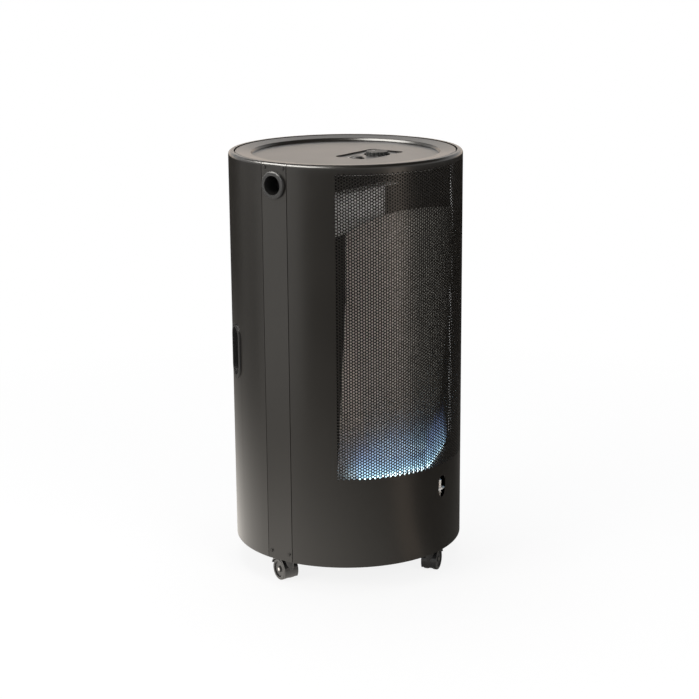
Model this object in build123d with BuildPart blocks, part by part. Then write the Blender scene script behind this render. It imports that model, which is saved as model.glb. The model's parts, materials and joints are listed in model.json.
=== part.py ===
"""Portable propane heater: a round cabinet on four castors with a blue-flame burner behind a punched front.

Millimetres, +Z up, front towards -Y. The origin is on the floor, on the cabinet's axis.
"""
from build123d import *
from math import cos, radians, sin, sqrt, tan
import os

os.makedirs("parts", exist_ok=True)

# ------------------------------------------------------------------ cabinet
body_radius = 220.0        # outside of the round casing
casing_height = 752.0      # bottom edge of the casing to its rim
floor_gap = 50.0           # bottom edge of the casing above the floor
sheet = 1.2                # casing steel
frame_sheet = 2.0          # base, top frame and brackets
rim_radius = 6.5           # roll along the casing's top edge
rim_lip = 4.0              # flat lip inside the roll
seam = 1.2                 # open seam beside each pillar
pillar_width = 54.8
pillar_depth = 20.0        # flanges of the pillar's channel
edge_flange = 8.0          # turned-in edge of the front and rear shells
fit_gap = 0.3              # clearance between pieces that come apart
run_gap = 0.05             # radial clearance of a turning or sliding fit
cut_reach = 20.0           # cutting blocks run this far past the casing's wall

# ------------------------------------------------------------------ front openings
slot_width = 23.0          # lighting slot on the front's centre line
slot_height = 42.0
slot_level = 128.0         # its centre above the casing's bottom edge
field_angle = 118.0        # open field of the front, round the casing
field_columns = 12
field_rows = 12
field_foot = 172.0         # plain wall under the field, from the casing's bottom edge
field_head = 14.0          # plain wall over the field, up to the rim
field_bar = 12.0           # bars between the field's openings

# ------------------------------------------------------------------ rear cover
hand_width = 44.0          # hand grips cut in the rear cover
hand_height = 98.0
hand_level = 380.0
hand_angle = 36.0          # from +X towards the back
bezel_flange = 4.0
bezel_wall = 3.0
bezel_proud = 2.4
bezel_depth = 8.0
vent_length = 46.0
vent_width = 6.0
vent_pitch = 14.0
vent_rows = 6
vent_levels = (110.0, 640.0)
tab_levels = (128.0, 380.0, 618.0)
tab_height = 22.0
tab_reach = 10.0

# ------------------------------------------------------------------ pillars' finger cups and screws
cup_drop = 40.0            # centre of the cups below the casing's rim
cup_bore = 35.0
cup_wall = 3.5
cup_depth = 34.0
collar_diameter = 50.0
collar_proud = 6.0
screw_spread = 41.0        # between the two screws at each end of a pillar
screw_inset_top = 9.0
screw_inset_bottom = 15.0
screw_diameter = 4.0
screw_head = 7.0
screw_head_height = 2.2
screw_length = 9.0
head_taper = 18.0          # side slope of a pan head, in degrees

# ------------------------------------------------------------------ lid and controls
lid_gap = 1.5              # open joint round the lid
lid_drop = 0.5             # lid ring below the rim
lid_ring = 30.0            # width of the raised ring
lid_step = 8.0             # recess inside the ring
ring_fall = 3.0            # the ring's inner edge below its outer one
step_run = 2.5             # slope of the wall down to the disc
lid_corner = 3.0
step_corner = 1.8
panel_x = 14.5             # centre of the control recess
panel_y = -45.0
panel_length = 124.0
panel_width = 76.0
panel_corner = 10.0
panel_depth = 2.5          # floor of the recess below the lid's disc
panel_wall = 2.0
panel_flange = 8.0
controls_y = -47.0         # row of the knob and the button
knob_x = 36.0
knob_diameter = 42.0
knob_height = 16.5
knob_proud = 3.5           # above the lid's disc
knob_flutes = 16
flute_radius = 2.6
flute_depth = 1.4
knob_edge = 0.8
knob_cap = 3.0             # solid top of the knob over its spindle
knob_travel = 5.0
well_clearance = 4.0       # ring of air round the knob and the button
well_depth = 16.0          # knob well below the recess's floor
button_x = -30.0
button_diameter = 22.0
button_height = 10.0
button_travel = 5.0
button_well_depth = 11.5
button_proud = 1.5
button_edge = 1.5
plunger_length = 12.0      # button's stem inside the igniter
stem_diameter = 8.0
spring_wire = 1.0
spring_turns = 4
spring_diameter = 13.0
spring_pocket = 5.0
igniter_diameter = 18.0
igniter_length = 46.0
terminal_length = 6.0
nut_across = 27.0
nut_height = 4.0

# ------------------------------------------------------------------ base, top frame, bulkhead
base_rise = 6.0            # underside of the base above the casing's bottom edge
base_flange = 20.0
frame_drop = 16.0          # top of the frame ring below the rim
frame_bore = 150.0
frame_flange = 8.0
shell_fit = 0.3            # base and frame inside the casing
notch_gap = 1.3            # base and frame beside the pillars and the rear cover
bulkhead_y = -94.0         # rear face of the partition before the gas bottle's bay
bulkhead_width = 374.0
bulkhead_flange = 15.0
floor_vent_length = 30.0
floor_vent_width = 12.0
floor_vent_ring = 75.0
floor_vents = 6
seat_y = 62.0
seat_radius = 112.0        # pressing that the gas bottle stands on
seat_rise = 2.5

# ------------------------------------------------------------------ radiant panel and burner
panel_face_y = -126.0      # front face of the radiant panel
panel_half = 175.5
panel_top = 628.0
panel_bottom = 157.0
fold_top = 515.0           # where each lower corner's fold meets the panel's side
fold_foot = 98.0           # where it meets the bottom edge, from the centre line
fold_angle = 21.0
head_bow = 20.0            # rise of the bowed strip over the panel's top edge
head_angle = 45.0          # how far that strip leans back
panel_screw_levels = (170.0, 586.0)
panel_bracket_width = 24.0
panel_bracket_face = 20.0  # height of the tab behind the panel
panel_bracket_foot = 12.0  # height of the foot on the bulkhead
burner_apex_y = -184.0
burner_half = 155.0        # sideways reach of each leg
burner_sweep_angle = 21.0  # backward sweep of the legs
burner_diameter = 26.0
burner_wall = 1.2
burner_level = 142.0       # tube's centre above the casing's bottom edge
port_diameter = 3.0
port_pitch = 10.0
port_start = 10.0          # first port from the apex
mixer_diameter = 20.0
mixer_mouth = 28.0
mixer_length = 56.0
mixer_straight = 34.0      # before the mouth widens
mixer_sink = 3.0           # end of the mixer inside the burner
injector_hex = 12.0
injector_length = 14.0
injector_bore = 1.2
injector_flange = 24.0
injector_boss = 16.0       # sideways to the gas pipe
burner_bracket_x = 120.0
burner_bracket_width = 18.0
burner_bracket_drop = 24.0
burner_bracket_lip = 6.0   # shelf in front of the burner's centre line
baffle_x = -90.0           # galvanised baffle above the radiant panel
baffle_width = 160.0
baffle_height = 80.0
baffle_level = 660.0
baffle_shelf = 30.0
deflector_gap = 6.8

# ------------------------------------------------------------------ gas valve and pipes
valve_diameter = 34.0
valve_height = 44.0
plug_diameter = 16.0
plug_height = 26.0
valve_cap = 5.0            # top wall over the plug
outlet_diameter = 14.0
outlet_length = 8.0
inlet_boss_diameter = 16.0
inlet_boss_length = 6.0
boss_sink = 4.0            # how far both bosses run into the valve's body
bracket_margin = 12.0      # bracket beside the knob's well
bracket_reach = 30.0       # bracket behind the knob's axis
bracket_shift = -6.0
bracket_flange = 24.0
hose_hex = 16.0
hose_hex_length = 8.0
inlet_diameter = 8.5       # tail for a hose of 8 mm bore
inlet_length = 22.0
tail_chamfer = 1.2
pipe_diameter = 8.0
pilot_pipe_diameter = 4.0
lead_diameter = 3.0
spark_lead_diameter = 5.0
pilot_y = -206.0
pilot_level = 118.0        # pilot bracket above the casing's bottom edge
pilot_x = -8.0
pilot_diameter = 9.0
pilot_height = 28.0
pilot_foot = 4.0           # pilot burner below its bracket
pilot_bore_depth = 16.0
pilot_wall = 1.0
pilot_slot = 6.0           # height of the slot in its hood
pilot_margin = 8.0
pilot_post_width = 12.0
pilot_post_depth = 10.0
rod_drop = 8.0             # thermocouple and spark insulator below the bracket
thermocouple_x = 4.0
thermocouple_diameter = 5.0
thermocouple_height = 32.0
spark_x = 13.0
insulator_diameter = 6.0
insulator_height = 24.0
spark_wire = 1.6
spark_clear = 2.0          # bare wire above the insulator
pass_diameter = 12.0       # holes for the pipes in the bulkhead
pipe_x = -152.0            # pipes run down the bulkhead's rear face side by side
pilot_pipe_x = -140.0
lead_x = -131.0
spark_lead_x = -120.0
pipe_y = -84.0
lead_offset = 6.0          # thin runs in front of the bulkhead's rear face
tap_offset = 8.0           # pilot pipe and thermocouple lead beside the valve's axis
pilot_run = 30.0           # where each run crosses the cabinet, below the valve
lead_run = 44.0
spark_run = 64.0
clip_levels = (280.0, 430.0, 580.0)
clip_height = 12.0
clip_side = 6.0
clip_wall = 1.5

# ------------------------------------------------------------------ castors
castor_inset = 27.0        # swivel axes inside the casing
castor_trail = 15.0
wheel_diameter = 42.0
wheel_width = 10.0
wheel_gap = 8.0            # between the twin wheels
web_side_gap = 0.6
hood_gap = 1.5
hood_wall = 2.2
axle_diameter = 6.0
castor_stem = 11.0
socket_wall = 2.5
stem_length = 26.0
boss_diameter = 20.0
boss_gap = 1.0             # castor sockets' flanges below the casing
wheel_round = 2.5
wheel_tread = 6.0
wheel_hub = 3.0
wheel_dish = 2.0
hub_wall = 4.0
hood_front_angle = 20.0    # the hood's ends, about the wheel's axis
hood_rear_angle = 210.0
hood_side = 0.8
# swivel place round the cabinet, and the way that the wheels trail, from +X in degrees
castors = {"front": (270, 16), "right": (0, 58), "rear": (90, 236), "left": (180, 70)}

# ------------------------------------------------------------------ worked-out places
top = floor_gap + casing_height
cup_level = casing_height - cup_drop
inner_radius = body_radius - sheet
deflector_radius = inner_radius - deflector_gap
castor_ring = body_radius - castor_inset          # swivel axes from the cabinet's axis
field_row = (casing_height - field_foot - field_head) / field_rows
field_step = field_angle / field_columns
field_opening = body_radius * radians(field_step) - field_bar
pillar_half = pillar_width / 2
edge_y = pillar_half + seam                       # where the front and rear shells end
pillar_face = sqrt(body_radius**2 - edge_y**2) + fit_gap
edge_x = sqrt((body_radius - sheet / 2) ** 2 - (edge_y + sheet / 2) ** 2)
base_z = floor_gap + base_rise + frame_sheet      # upper face of the base
frame_z = top - frame_drop                        # upper face of the top frame
lid_radius = body_radius - rim_radius - rim_lip - lid_gap
disc_z = top - lid_drop - lid_step                # upper face of the lid's disc
tray_z = disc_z - panel_depth                     # floor of the control recess
knob_well = knob_diameter + 2 * well_clearance
button_well = button_diameter + 2 * well_clearance
knob_well_z = tray_z - well_depth
button_well_z = tray_z - button_well_depth
knob_top = disc_z + knob_proud
knob_base = knob_top - knob_height
button_top = disc_z + button_proud
button_base = button_top - button_height
bracket_z = knob_well_z - panel_wall - frame_sheet
bracket_x = knob_x + bracket_shift
bracket_length = knob_well + 2 * bracket_margin
valve_top = bracket_z
valve_base = valve_top - valve_height
bulkhead_front = bulkhead_y - sheet
burner_z = floor_gap + burner_level
leg_length = burner_half / cos(radians(burner_sweep_angle))
pilot_z = floor_gap + pilot_level
wheel_radius = wheel_diameter / 2
pipe_z = valve_base + 10
frame_rim = inner_radius - shell_fit              # outside of the base and the top frame
notch_x = pillar_face - pillar_depth - notch_gap
socket_radius = castor_stem / 2 + run_gap + socket_wall
port_x = knob_x - valve_diameter / 2 - outlet_length    # end of the valve's outlet
tail_y = controls_y + valve_diameter / 2 + inlet_boss_length
igniter_top = button_well_z - panel_wall
injector_y = bulkhead_front - injector_length / 2
valve_screw_drop = 14.0
valve_screw_x = (knob_x - 30, knob_x + 18)
pipe_low = burner_z                               # where each pipe comes forward through the bulkhead
pilot_pipe_low = pilot_z - 18
lead_low = pilot_z - 24
spark_lead_low = pilot_z - 32
pipe_passes = ((pipe_x, pipe_low), (pilot_pipe_x, pilot_pipe_low), (lead_x, lead_low),
               (spark_lead_x, spark_lead_low))


def radial_plane(angle):
    """Upright plane through the cabinet's axis: its X points outwards at that angle, its Y up."""
    a = radians(angle)
    return Plane(origin=(0, 0, floor_gap), x_dir=(cos(a), sin(a), 0), z_dir=(sin(a), -cos(a), 0))


def outward_plane(angle, radius):
    """Upright plane that faces outwards at that angle and distance from the axis, its Y up."""
    a = radians(angle)
    return Plane(origin=(radius * cos(a), radius * sin(a), floor_gap), x_dir=(-sin(a), cos(a), 0),
                 z_dir=(cos(a), sin(a), 0))


def side_plane(side, z):
    """Plane on a pillar's face: normal outwards, its X along Y, its Y up."""
    return Plane(origin=(side * pillar_face, 0, z), x_dir=(0, side, 0), z_dir=(side, 0, 0))


def wall_section(face):
    """Section of a casing wall with its rolled rim, X outwards and Y up from the bottom edge."""
    lip_edge = face - rim_radius - rim_lip
    inside = face - sheet
    with BuildSketch() as section:
        with BuildLine():
            FilletPolyline(
                (face, 0), (face, casing_height), (lip_edge, casing_height),
                (lip_edge, casing_height - sheet), (inside, casing_height - sheet), (inside, 0),
                radius=[0, rim_radius, 0, 0, rim_radius - sheet, 0], close=True)
        make_face()
    return section.sketch


def screws(places, head=screw_head, shank=screw_diameter, length=screw_length):
    """Pan-head screws, one at each plane, heads outside the plane and shanks behind it."""
    with BuildPart() as group:
        for place in places:
            with BuildSketch(place):
                Circle(head / 2)
            extrude(amount=screw_head_height, taper=head_taper)
            with BuildSketch(place):
                Circle(shank / 2)
            extrude(amount=-length)
    return group.part


def tube(points, diameter, bends):
    """Round tube along straight runs joined by tangent bends."""
    with BuildPart() as pipe:
        with BuildLine() as route:
            FilletPolyline(*points, radius=bends)
        with BuildSketch(Plane(origin=route.line @ 0, z_dir=route.line % 0)):
            Circle(diameter / 2)
        sweep(path=route.line)
    return pipe.part


def coil(x, y, low, high):
    """Compression spring on an upright axis, between two levels."""
    rise = high - low - spring_wire
    with BuildPart() as spring:
        with BuildLine(Plane(origin=(x, y, low + spring_wire / 2))) as line:
            Helix(pitch=rise / spring_turns, height=rise, radius=(spring_diameter - spring_wire) / 2)
        with BuildSketch(Plane(origin=line.line @ 0, z_dir=line.line % 0)):
            Circle(spring_wire / 2)
        sweep(path=line.line, is_frenet=True)
    return spring.part


def curved_slot(outwards, length, width, inside, outside):
    """Solid with a slot's outline that fills the cabinet's wall between two radii."""
    with BuildPart() as block:
        with BuildSketch(outwards.offset(inside - cut_reach)):
            SlotOverall(length, width, rotation=90)
        extrude(amount=outside - inside + 2 * cut_reach)
        with BuildSketch(Plane.XY.offset(floor_gap)):
            Circle(outside)
            Circle(inside, mode=Mode.SUBTRACT)
        extrude(amount=casing_height, mode=Mode.INTERSECT)
    return block.part


def fit_round_pillars(low, rise):
    """Cuts a round plate clear of the pillars and the rear cover, with a tongue and a tab in each pillar."""
    clear_half = edge_y + sheet + notch_gap
    cover_x = edge_x - edge_flange - notch_gap
    tongue_half = pillar_half - sheet - notch_gap
    tab_x = pillar_face - sheet
    for side in (-1, 1):
        with Locations((side * (notch_x + body_radius / 2), 0, low)):
            Box(body_radius, 2 * clear_half, body_radius, mode=Mode.SUBTRACT)
        with Locations((side * (cover_x + body_radius / 2), body_radius / 2, low)):
            Box(body_radius, body_radius, body_radius, mode=Mode.SUBTRACT)
        with Locations((side * (notch_x - 1 + tab_x) / 2, 0, low + frame_sheet / 2)):
            Box(tab_x - notch_x + 1, 2 * tongue_half, frame_sheet)
        with Locations((side * (tab_x - frame_sheet / 2), 0, low + rise / 2)):
            Box(frame_sheet, 2 * tongue_half, rise)


def save(part, name):
    part.label = name
    export_step(part, f"parts/{name}.step")


# ------------------------------------------------------------------ casing
with BuildPart() as front_shell:
    with BuildSketch(radial_plane(180)):
        add(wall_section(body_radius))
    revolve(axis=Axis.Z, revolution_arc=180)
    split(bisect_by=Plane.XZ.offset(edge_y), keep=Keep.TOP)
    with BuildSketch(Plane.XY.offset(floor_gap)):
        for side in (-1, 1):
            with Locations((side * (edge_x - edge_flange / 2), -edge_y - sheet / 2)):
                Rectangle(edge_flange, sheet)
    extrude(amount=casing_height - rim_radius)
    with BuildSketch(Plane.XZ.offset(body_radius - cut_reach)):
        with Locations((0, floor_gap + slot_level)):
            SlotOverall(slot_height, slot_width, rotation=90)
    extrude(amount=2 * cut_reach, mode=Mode.SUBTRACT)
    for column in range(field_columns):
        turn = 270 - field_angle / 2 + field_step * (column + 0.5)
        with BuildSketch(outward_plane(turn, body_radius - cut_reach)):
            with Locations((0, field_foot + field_row * field_rows / 2)):
                with GridLocations(field_opening, field_row, 1, field_rows):
                    Rectangle(field_opening, field_row - field_bar)
        extrude(amount=2 * cut_reach, mode=Mode.SUBTRACT)
save(front_shell.part, "front_shell")

with BuildPart() as rear_cover:
    with BuildSketch(radial_plane(0)):
        add(wall_section(body_radius))
    revolve(axis=Axis.Z, revolution_arc=180)
    split(bisect_by=Plane.XZ.offset(-edge_y), keep=Keep.BOTTOM)
    with BuildSketch(Plane.XY.offset(floor_gap)):
        for side in (-1, 1):
            with Locations((side * (edge_x - edge_flange / 2), edge_y + sheet / 2)):
                Rectangle(edge_flange, sheet)
    extrude(amount=casing_height - rim_radius)
    for side in (-1, 1):
        for level in tab_levels:
            with Locations((side * (edge_x - edge_flange / 2), edge_y - tab_reach / 2, floor_gap + level)):
                Box(frame_sheet, tab_reach, tab_height)
        for angle in (hand_angle, 180 - hand_angle):
            place = radial_plane(angle)
            with BuildSketch(Plane(origin=place.x_dir * (body_radius - cut_reach), x_dir=-place.z_dir,
                                   z_dir=place.x_dir)):
                with Locations((0, floor_gap + hand_level)):
                    SlotOverall(hand_height, hand_width, rotation=90)
            extrude(amount=2 * cut_reach, mode=Mode.SUBTRACT)
    for level in vent_levels:
        with BuildSketch(Plane.XZ.offset(-body_radius + cut_reach)):
            with Locations((0, floor_gap + level)):
                with GridLocations(vent_length + vent_pitch, vent_pitch, 3, vent_rows):
                    SlotOverall(vent_length, vent_width)
        extrude(amount=-2 * cut_reach, mode=Mode.SUBTRACT)
save(rear_cover.part, "rear_cover")

for side, name in ((-1, "left"), (1, "right")):
    flange_x = side * (pillar_face - pillar_depth / 2)
    with BuildPart() as pillar:
        with BuildSketch(radial_plane(90 - 90 * side)):
            add(wall_section(pillar_face))
        extrude(amount=pillar_half, both=True)
        with BuildSketch(Plane.XY.offset(floor_gap)):
            for across in (-1, 1):
                with Locations((flange_x, across * (pillar_half - sheet / 2))):
                    Rectangle(pillar_depth, sheet)
        extrude(amount=frame_z - fit_gap - floor_gap)
        with BuildSketch(Plane.XY.offset(top - rim_radius)):
            Circle(lid_radius + lid_gap)
        extrude(amount=2 * rim_radius, mode=Mode.SUBTRACT)
        with BuildSketch(side_plane(side, floor_gap + cup_level)):
            Circle(cup_bore / 2 + cup_wall)
        extrude(amount=-2 * sheet, mode=Mode.SUBTRACT)
        for level in (floor_gap + screw_inset_bottom, top - screw_inset_top):
            with BuildSketch(side_plane(side, level)):
                with GridLocations(screw_spread, 1, 2, 1):
                    Circle(screw_diameter / 2)
            extrude(amount=-2 * sheet, mode=Mode.SUBTRACT)
        for level in tab_levels:
            with Locations((side * (edge_x - edge_flange / 2), pillar_half - sheet / 2, floor_gap + level)):
                Box(frame_sheet + 2 * fit_gap, 2 * sheet, tab_height + 2 * fit_gap, mode=Mode.SUBTRACT)
    save(pillar.part, f"{name}_pillar")

    with BuildPart() as cup:
        with BuildSketch(side_plane(side, floor_gap + cup_level)):
            Circle(collar_diameter / 2)
        extrude(amount=collar_proud)
        fillet(cup.faces().sort_by(Axis.X)[-1 if side > 0 else 0].edges(), collar_proud / 2)
        with BuildSketch(side_plane(side, floor_gap + cup_level)):
            Circle(cup_bore / 2 + cup_wall)
        extrude(amount=-cup_depth)
        with BuildSketch(side_plane(side, floor_gap + cup_level).offset(collar_proud)):
            Circle(cup_bore / 2)
        extrude(amount=-(cup_depth + collar_proud - cup_wall), mode=Mode.SUBTRACT)
    save(cup.part, f"{name}_grip_cup")

    place = radial_plane(90 - 90 * side + side * hand_angle)
    outwards = Plane(origin=(0, 0, floor_gap + hand_level), x_dir=-place.z_dir, z_dir=place.x_dir)
    flange = curved_slot(outwards, hand_height + 2 * bezel_flange, hand_width + 2 * bezel_flange,
                         body_radius, body_radius + bezel_proud)
    sleeve = curved_slot(outwards, hand_height, hand_width,
                         body_radius - bezel_depth, body_radius + bezel_proud)
    with BuildPart() as bezel:
        add(flange)
        add(sleeve)
        with BuildSketch(outwards.offset(body_radius - 2 * cut_reach)):
            SlotOverall(hand_height - 2 * bezel_wall, hand_width - 2 * bezel_wall, rotation=90)
        extrude(amount=3 * cut_reach, mode=Mode.SUBTRACT)
    save(bezel.part, f"{name}_grip_bezel")

pillar_screw_places = [
    side_plane(side, level).shift_origin(
        side_plane(side, level).from_local_coords(Vector(across * screw_spread / 2, 0, 0)))
    for side in (-1, 1)
    for level in (floor_gap + screw_inset_bottom, top - screw_inset_top)
    for across in (-1, 1)
]
save(screws(pillar_screw_places), "pillar_screws")

# ------------------------------------------------------------------ lid and control recess
with BuildPart() as top_cover:
    with BuildSketch(Plane.XZ):
        with BuildLine():
            rim = top - lid_drop
            step_x = lid_radius - lid_ring
            FilletPolyline(
                (lid_radius, frame_z), (lid_radius, rim), (step_x, rim - ring_fall),
                (step_x - step_run, disc_z), (0, disc_z), (0, disc_z - sheet),
                (step_x - step_run + sheet, disc_z - sheet), (step_x + sheet, rim - ring_fall - sheet),
                (lid_radius - sheet, rim - sheet), (lid_radius - sheet, frame_z),
                radius=[0, lid_corner, step_corner, step_corner, 0, 0,
                        step_corner, step_corner - sheet, lid_corner - sheet, 0],
                close=True)
        make_face()
    revolve(axis=Axis.Z)
    with BuildSketch(Plane.XY.offset(disc_z)):
        with Locations((panel_x, panel_y)):
            RectangleRounded(panel_length, panel_width, panel_corner)
    extrude(amount=-2 * sheet, mode=Mode.SUBTRACT)
save(top_cover.part, "top_cover")

with BuildPart() as control_panel:
    with BuildSketch(Plane.XY.offset(disc_z - sheet)):
        with Locations((panel_x, panel_y)):
            RectangleRounded(panel_length + 2 * panel_flange, panel_width + 2 * panel_flange,
                             panel_corner + panel_flange)
    extrude(amount=-panel_wall)
    with BuildSketch(Plane.XY.offset(tray_z)):
        with Locations((panel_x, panel_y)):
            RectangleRounded(panel_length + 2 * panel_wall, panel_width + 2 * panel_wall,
                             panel_corner + panel_wall)
    extrude(amount=disc_z - sheet - tray_z)
    with BuildSketch(Plane.XY.offset(tray_z)):
        with Locations((panel_x, panel_y)):
            RectangleRounded(panel_length, panel_width, panel_corner)
    extrude(amount=panel_depth, mode=Mode.SUBTRACT)
    with BuildSketch(Plane.XY.offset(tray_z)):
        with Locations((panel_x, panel_y)):
            RectangleRounded(panel_length + 2 * panel_wall, panel_width + 2 * panel_wall,
                             panel_corner + panel_wall)
    extrude(amount=-panel_wall)
    for x, well, low in ((knob_x, knob_well, knob_well_z), (button_x, button_well, button_well_z)):
        with BuildSketch(Plane.XY.offset(low - panel_wall)):
            with Locations((x, controls_y)):
                Circle(well / 2 + panel_wall)
        extrude(amount=tray_z - low)
        with BuildSketch(Plane.XY.offset(low)):
            with Locations((x, controls_y)):
                Circle(well / 2)
        extrude(amount=tray_z - low, mode=Mode.SUBTRACT)
        with BuildSketch(Plane.XY.offset(low)):
            with Locations((x, controls_y)):
                Circle(stem_diameter / 2 + fit_gap)
        extrude(amount=-2 * panel_wall, mode=Mode.SUBTRACT)
save(control_panel.part, "control_panel")

with BuildPart() as control_knob:
    with BuildSketch(Plane.XY.offset(knob_base)):
        with Locations((knob_x, controls_y)):
            Circle(knob_diameter / 2)
            with PolarLocations(knob_diameter / 2 + flute_radius - flute_depth, knob_flutes):
                Circle(flute_radius, mode=Mode.SUBTRACT)
    extrude(amount=knob_height)
    fillet(control_knob.faces().sort_by(Axis.Z)[-1].edges(), knob_edge)
    with BuildSketch(Plane.XY.offset(knob_base)):
        with Locations((knob_x, controls_y)):
            Circle(spring_diameter / 2 + 1)
    extrude(amount=spring_pocket, mode=Mode.SUBTRACT)
    with BuildSketch(Plane.XY.offset(knob_base)):
        with Locations((knob_x, controls_y)):
            Circle(stem_diameter / 2)
    extrude(amount=knob_height - knob_cap, mode=Mode.SUBTRACT)
save(control_knob.part, "control_knob")

with BuildPart() as ignition_button:
    with BuildSketch(Plane.XY.offset(button_base)):
        with Locations((button_x, controls_y)):
            Circle(button_diameter / 2)
    extrude(amount=button_height)
    fillet(ignition_button.faces().sort_by(Axis.Z)[-1].edges(), button_edge)
    with BuildSketch(Plane.XY.offset(button_base)):
        with Locations((button_x, controls_y)):
            Circle(spring_diameter / 2 + 1)
    extrude(amount=spring_pocket, mode=Mode.SUBTRACT)
    with BuildSketch(Plane.XY.offset(button_base + spring_pocket)):
        with Locations((button_x, controls_y)):
            Circle(stem_diameter / 2)
    extrude(amount=-(button_base + spring_pocket - button_well_z + plunger_length))
save(ignition_button.part, "ignition_button")

save(coil(knob_x, controls_y, knob_well_z, knob_base + spring_pocket), "knob_spring")
save(coil(button_x, controls_y, button_well_z, button_base + spring_pocket), "button_spring")

with BuildPart() as piezo_igniter:
    with BuildSketch(Plane.XY.offset(igniter_top)):
        with Locations((button_x, controls_y)):
            Circle(igniter_diameter / 2)
    extrude(amount=-igniter_length)
    with BuildSketch(Plane.XY.offset(igniter_top)):
        with Locations((button_x, controls_y)):
            Circle(stem_diameter / 2 + run_gap)
    extrude(amount=-(plunger_length + button_travel), mode=Mode.SUBTRACT)
    with BuildSketch(Plane.XY.offset(igniter_top - igniter_length)):
        with Locations((button_x, controls_y)):
            Circle(spark_lead_diameter / 2)
    extrude(amount=-terminal_length)
save(piezo_igniter.part, "piezo_igniter")

with BuildPart() as igniter_nut:
    with BuildSketch(Plane.XY.offset(igniter_top)):
        with Locations((button_x, controls_y)):
            RegularPolygon(nut_across / 2, 6, major_radius=False)
            Circle(igniter_diameter / 2, mode=Mode.SUBTRACT)
    extrude(amount=-nut_height)
save(igniter_nut.part, "igniter_nut")

# ------------------------------------------------------------------ gas valve
with BuildPart() as valve_bracket:
    with BuildSketch(Plane.XY.offset(bracket_z)):
        with Locations((bracket_x, (bulkhead_y + controls_y + bracket_reach) / 2)):
            Rectangle(bracket_length, controls_y + bracket_reach - bulkhead_y)
        with Locations((knob_x, controls_y)):
            Circle(stem_diameter / 2 + fit_gap, mode=Mode.SUBTRACT)
    extrude(amount=frame_sheet)
    with BuildSketch(Plane.XY.offset(bracket_z)):
        with Locations((bracket_x, bulkhead_y + frame_sheet / 2)):
            Rectangle(bracket_length, frame_sheet)
    extrude(amount=-bracket_flange)
    with BuildSketch(Plane.XZ.offset(-bulkhead_y)):
        with Locations(*[(x, bracket_z - valve_screw_drop) for x in valve_screw_x]):
            Circle(screw_diameter / 2)
    extrude(amount=-2 * frame_sheet, mode=Mode.SUBTRACT)
save(valve_bracket.part, "valve_bracket")

with BuildPart() as gas_valve:
    with BuildSketch(Plane.XY.offset(valve_top)):
        with Locations((knob_x, controls_y)):
            Circle(valve_diameter / 2)
    extrude(amount=-valve_height)
    with BuildSketch(Plane.XY.offset(valve_top - valve_cap)):
        with Locations((knob_x, controls_y)):
            Circle(plug_diameter / 2 + run_gap)
    extrude(amount=-(plug_height + fit_gap), mode=Mode.SUBTRACT)
    with BuildSketch(Plane.XY.offset(valve_top)):
        with Locations((knob_x, controls_y)):
            Circle(stem_diameter / 2 + run_gap)
    extrude(amount=-valve_cap, mode=Mode.SUBTRACT)
    with BuildSketch(Plane.YZ.offset(port_x)):
        with Locations((controls_y, pipe_z)):
            Circle(outlet_diameter / 2)
    extrude(amount=outlet_length + boss_sink)
    with BuildSketch(Plane.XZ.offset(-tail_y)):
        with Locations((knob_x, pipe_z)):
            Circle(inlet_boss_diameter / 2)
    extrude(amount=inlet_boss_length + boss_sink)
save(gas_valve.part, "gas_valve")

with BuildPart() as valve_plug:
    with BuildSketch(Plane.XY.offset(valve_top - valve_cap - fit_gap / 2)):
        with Locations((knob_x, controls_y)):
            Circle(plug_diameter / 2)
            Circle(stem_diameter / 2 + run_gap, mode=Mode.SUBTRACT)
    extrude(amount=-plug_height)
save(valve_plug.part, "valve_plug")

with BuildPart() as valve_spindle:
    with BuildSketch(Plane.XY.offset(knob_top - knob_cap)):
        with Locations((knob_x, controls_y)):
            Circle(stem_diameter / 2)
    extrude(amount=-(knob_top - knob_cap - valve_top + plug_height - knob_travel))
save(valve_spindle.part, "valve_spindle")

with BuildPart() as hose_tail:
    with BuildSketch(Plane.XZ.offset(-tail_y)):
        with Locations((knob_x, pipe_z)):
            RegularPolygon(hose_hex / 2, 6, major_radius=False)
    extrude(amount=-hose_hex_length)
    with BuildSketch(Plane.XZ.offset(-tail_y - hose_hex_length)):
        with Locations((knob_x, pipe_z)):
            Circle(inlet_diameter / 2)
    extrude(amount=-inlet_length)
    with BuildSketch(Plane.XZ.offset(-tail_y - hose_hex_length - inlet_length)):
        with Locations((knob_x, pipe_z)):
            Circle(inlet_diameter / 2)
    extrude(amount=-tail_chamfer, taper=45)
save(hose_tail.part, "hose_tail")

valve_screw_places = [
    Plane(origin=(x, bulkhead_y + frame_sheet, bracket_z - valve_screw_drop), z_dir=(0, 1, 0))
    for x in valve_screw_x
]
save(screws(valve_screw_places, length=frame_sheet + sheet + 3), "valve_screws")

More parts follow.
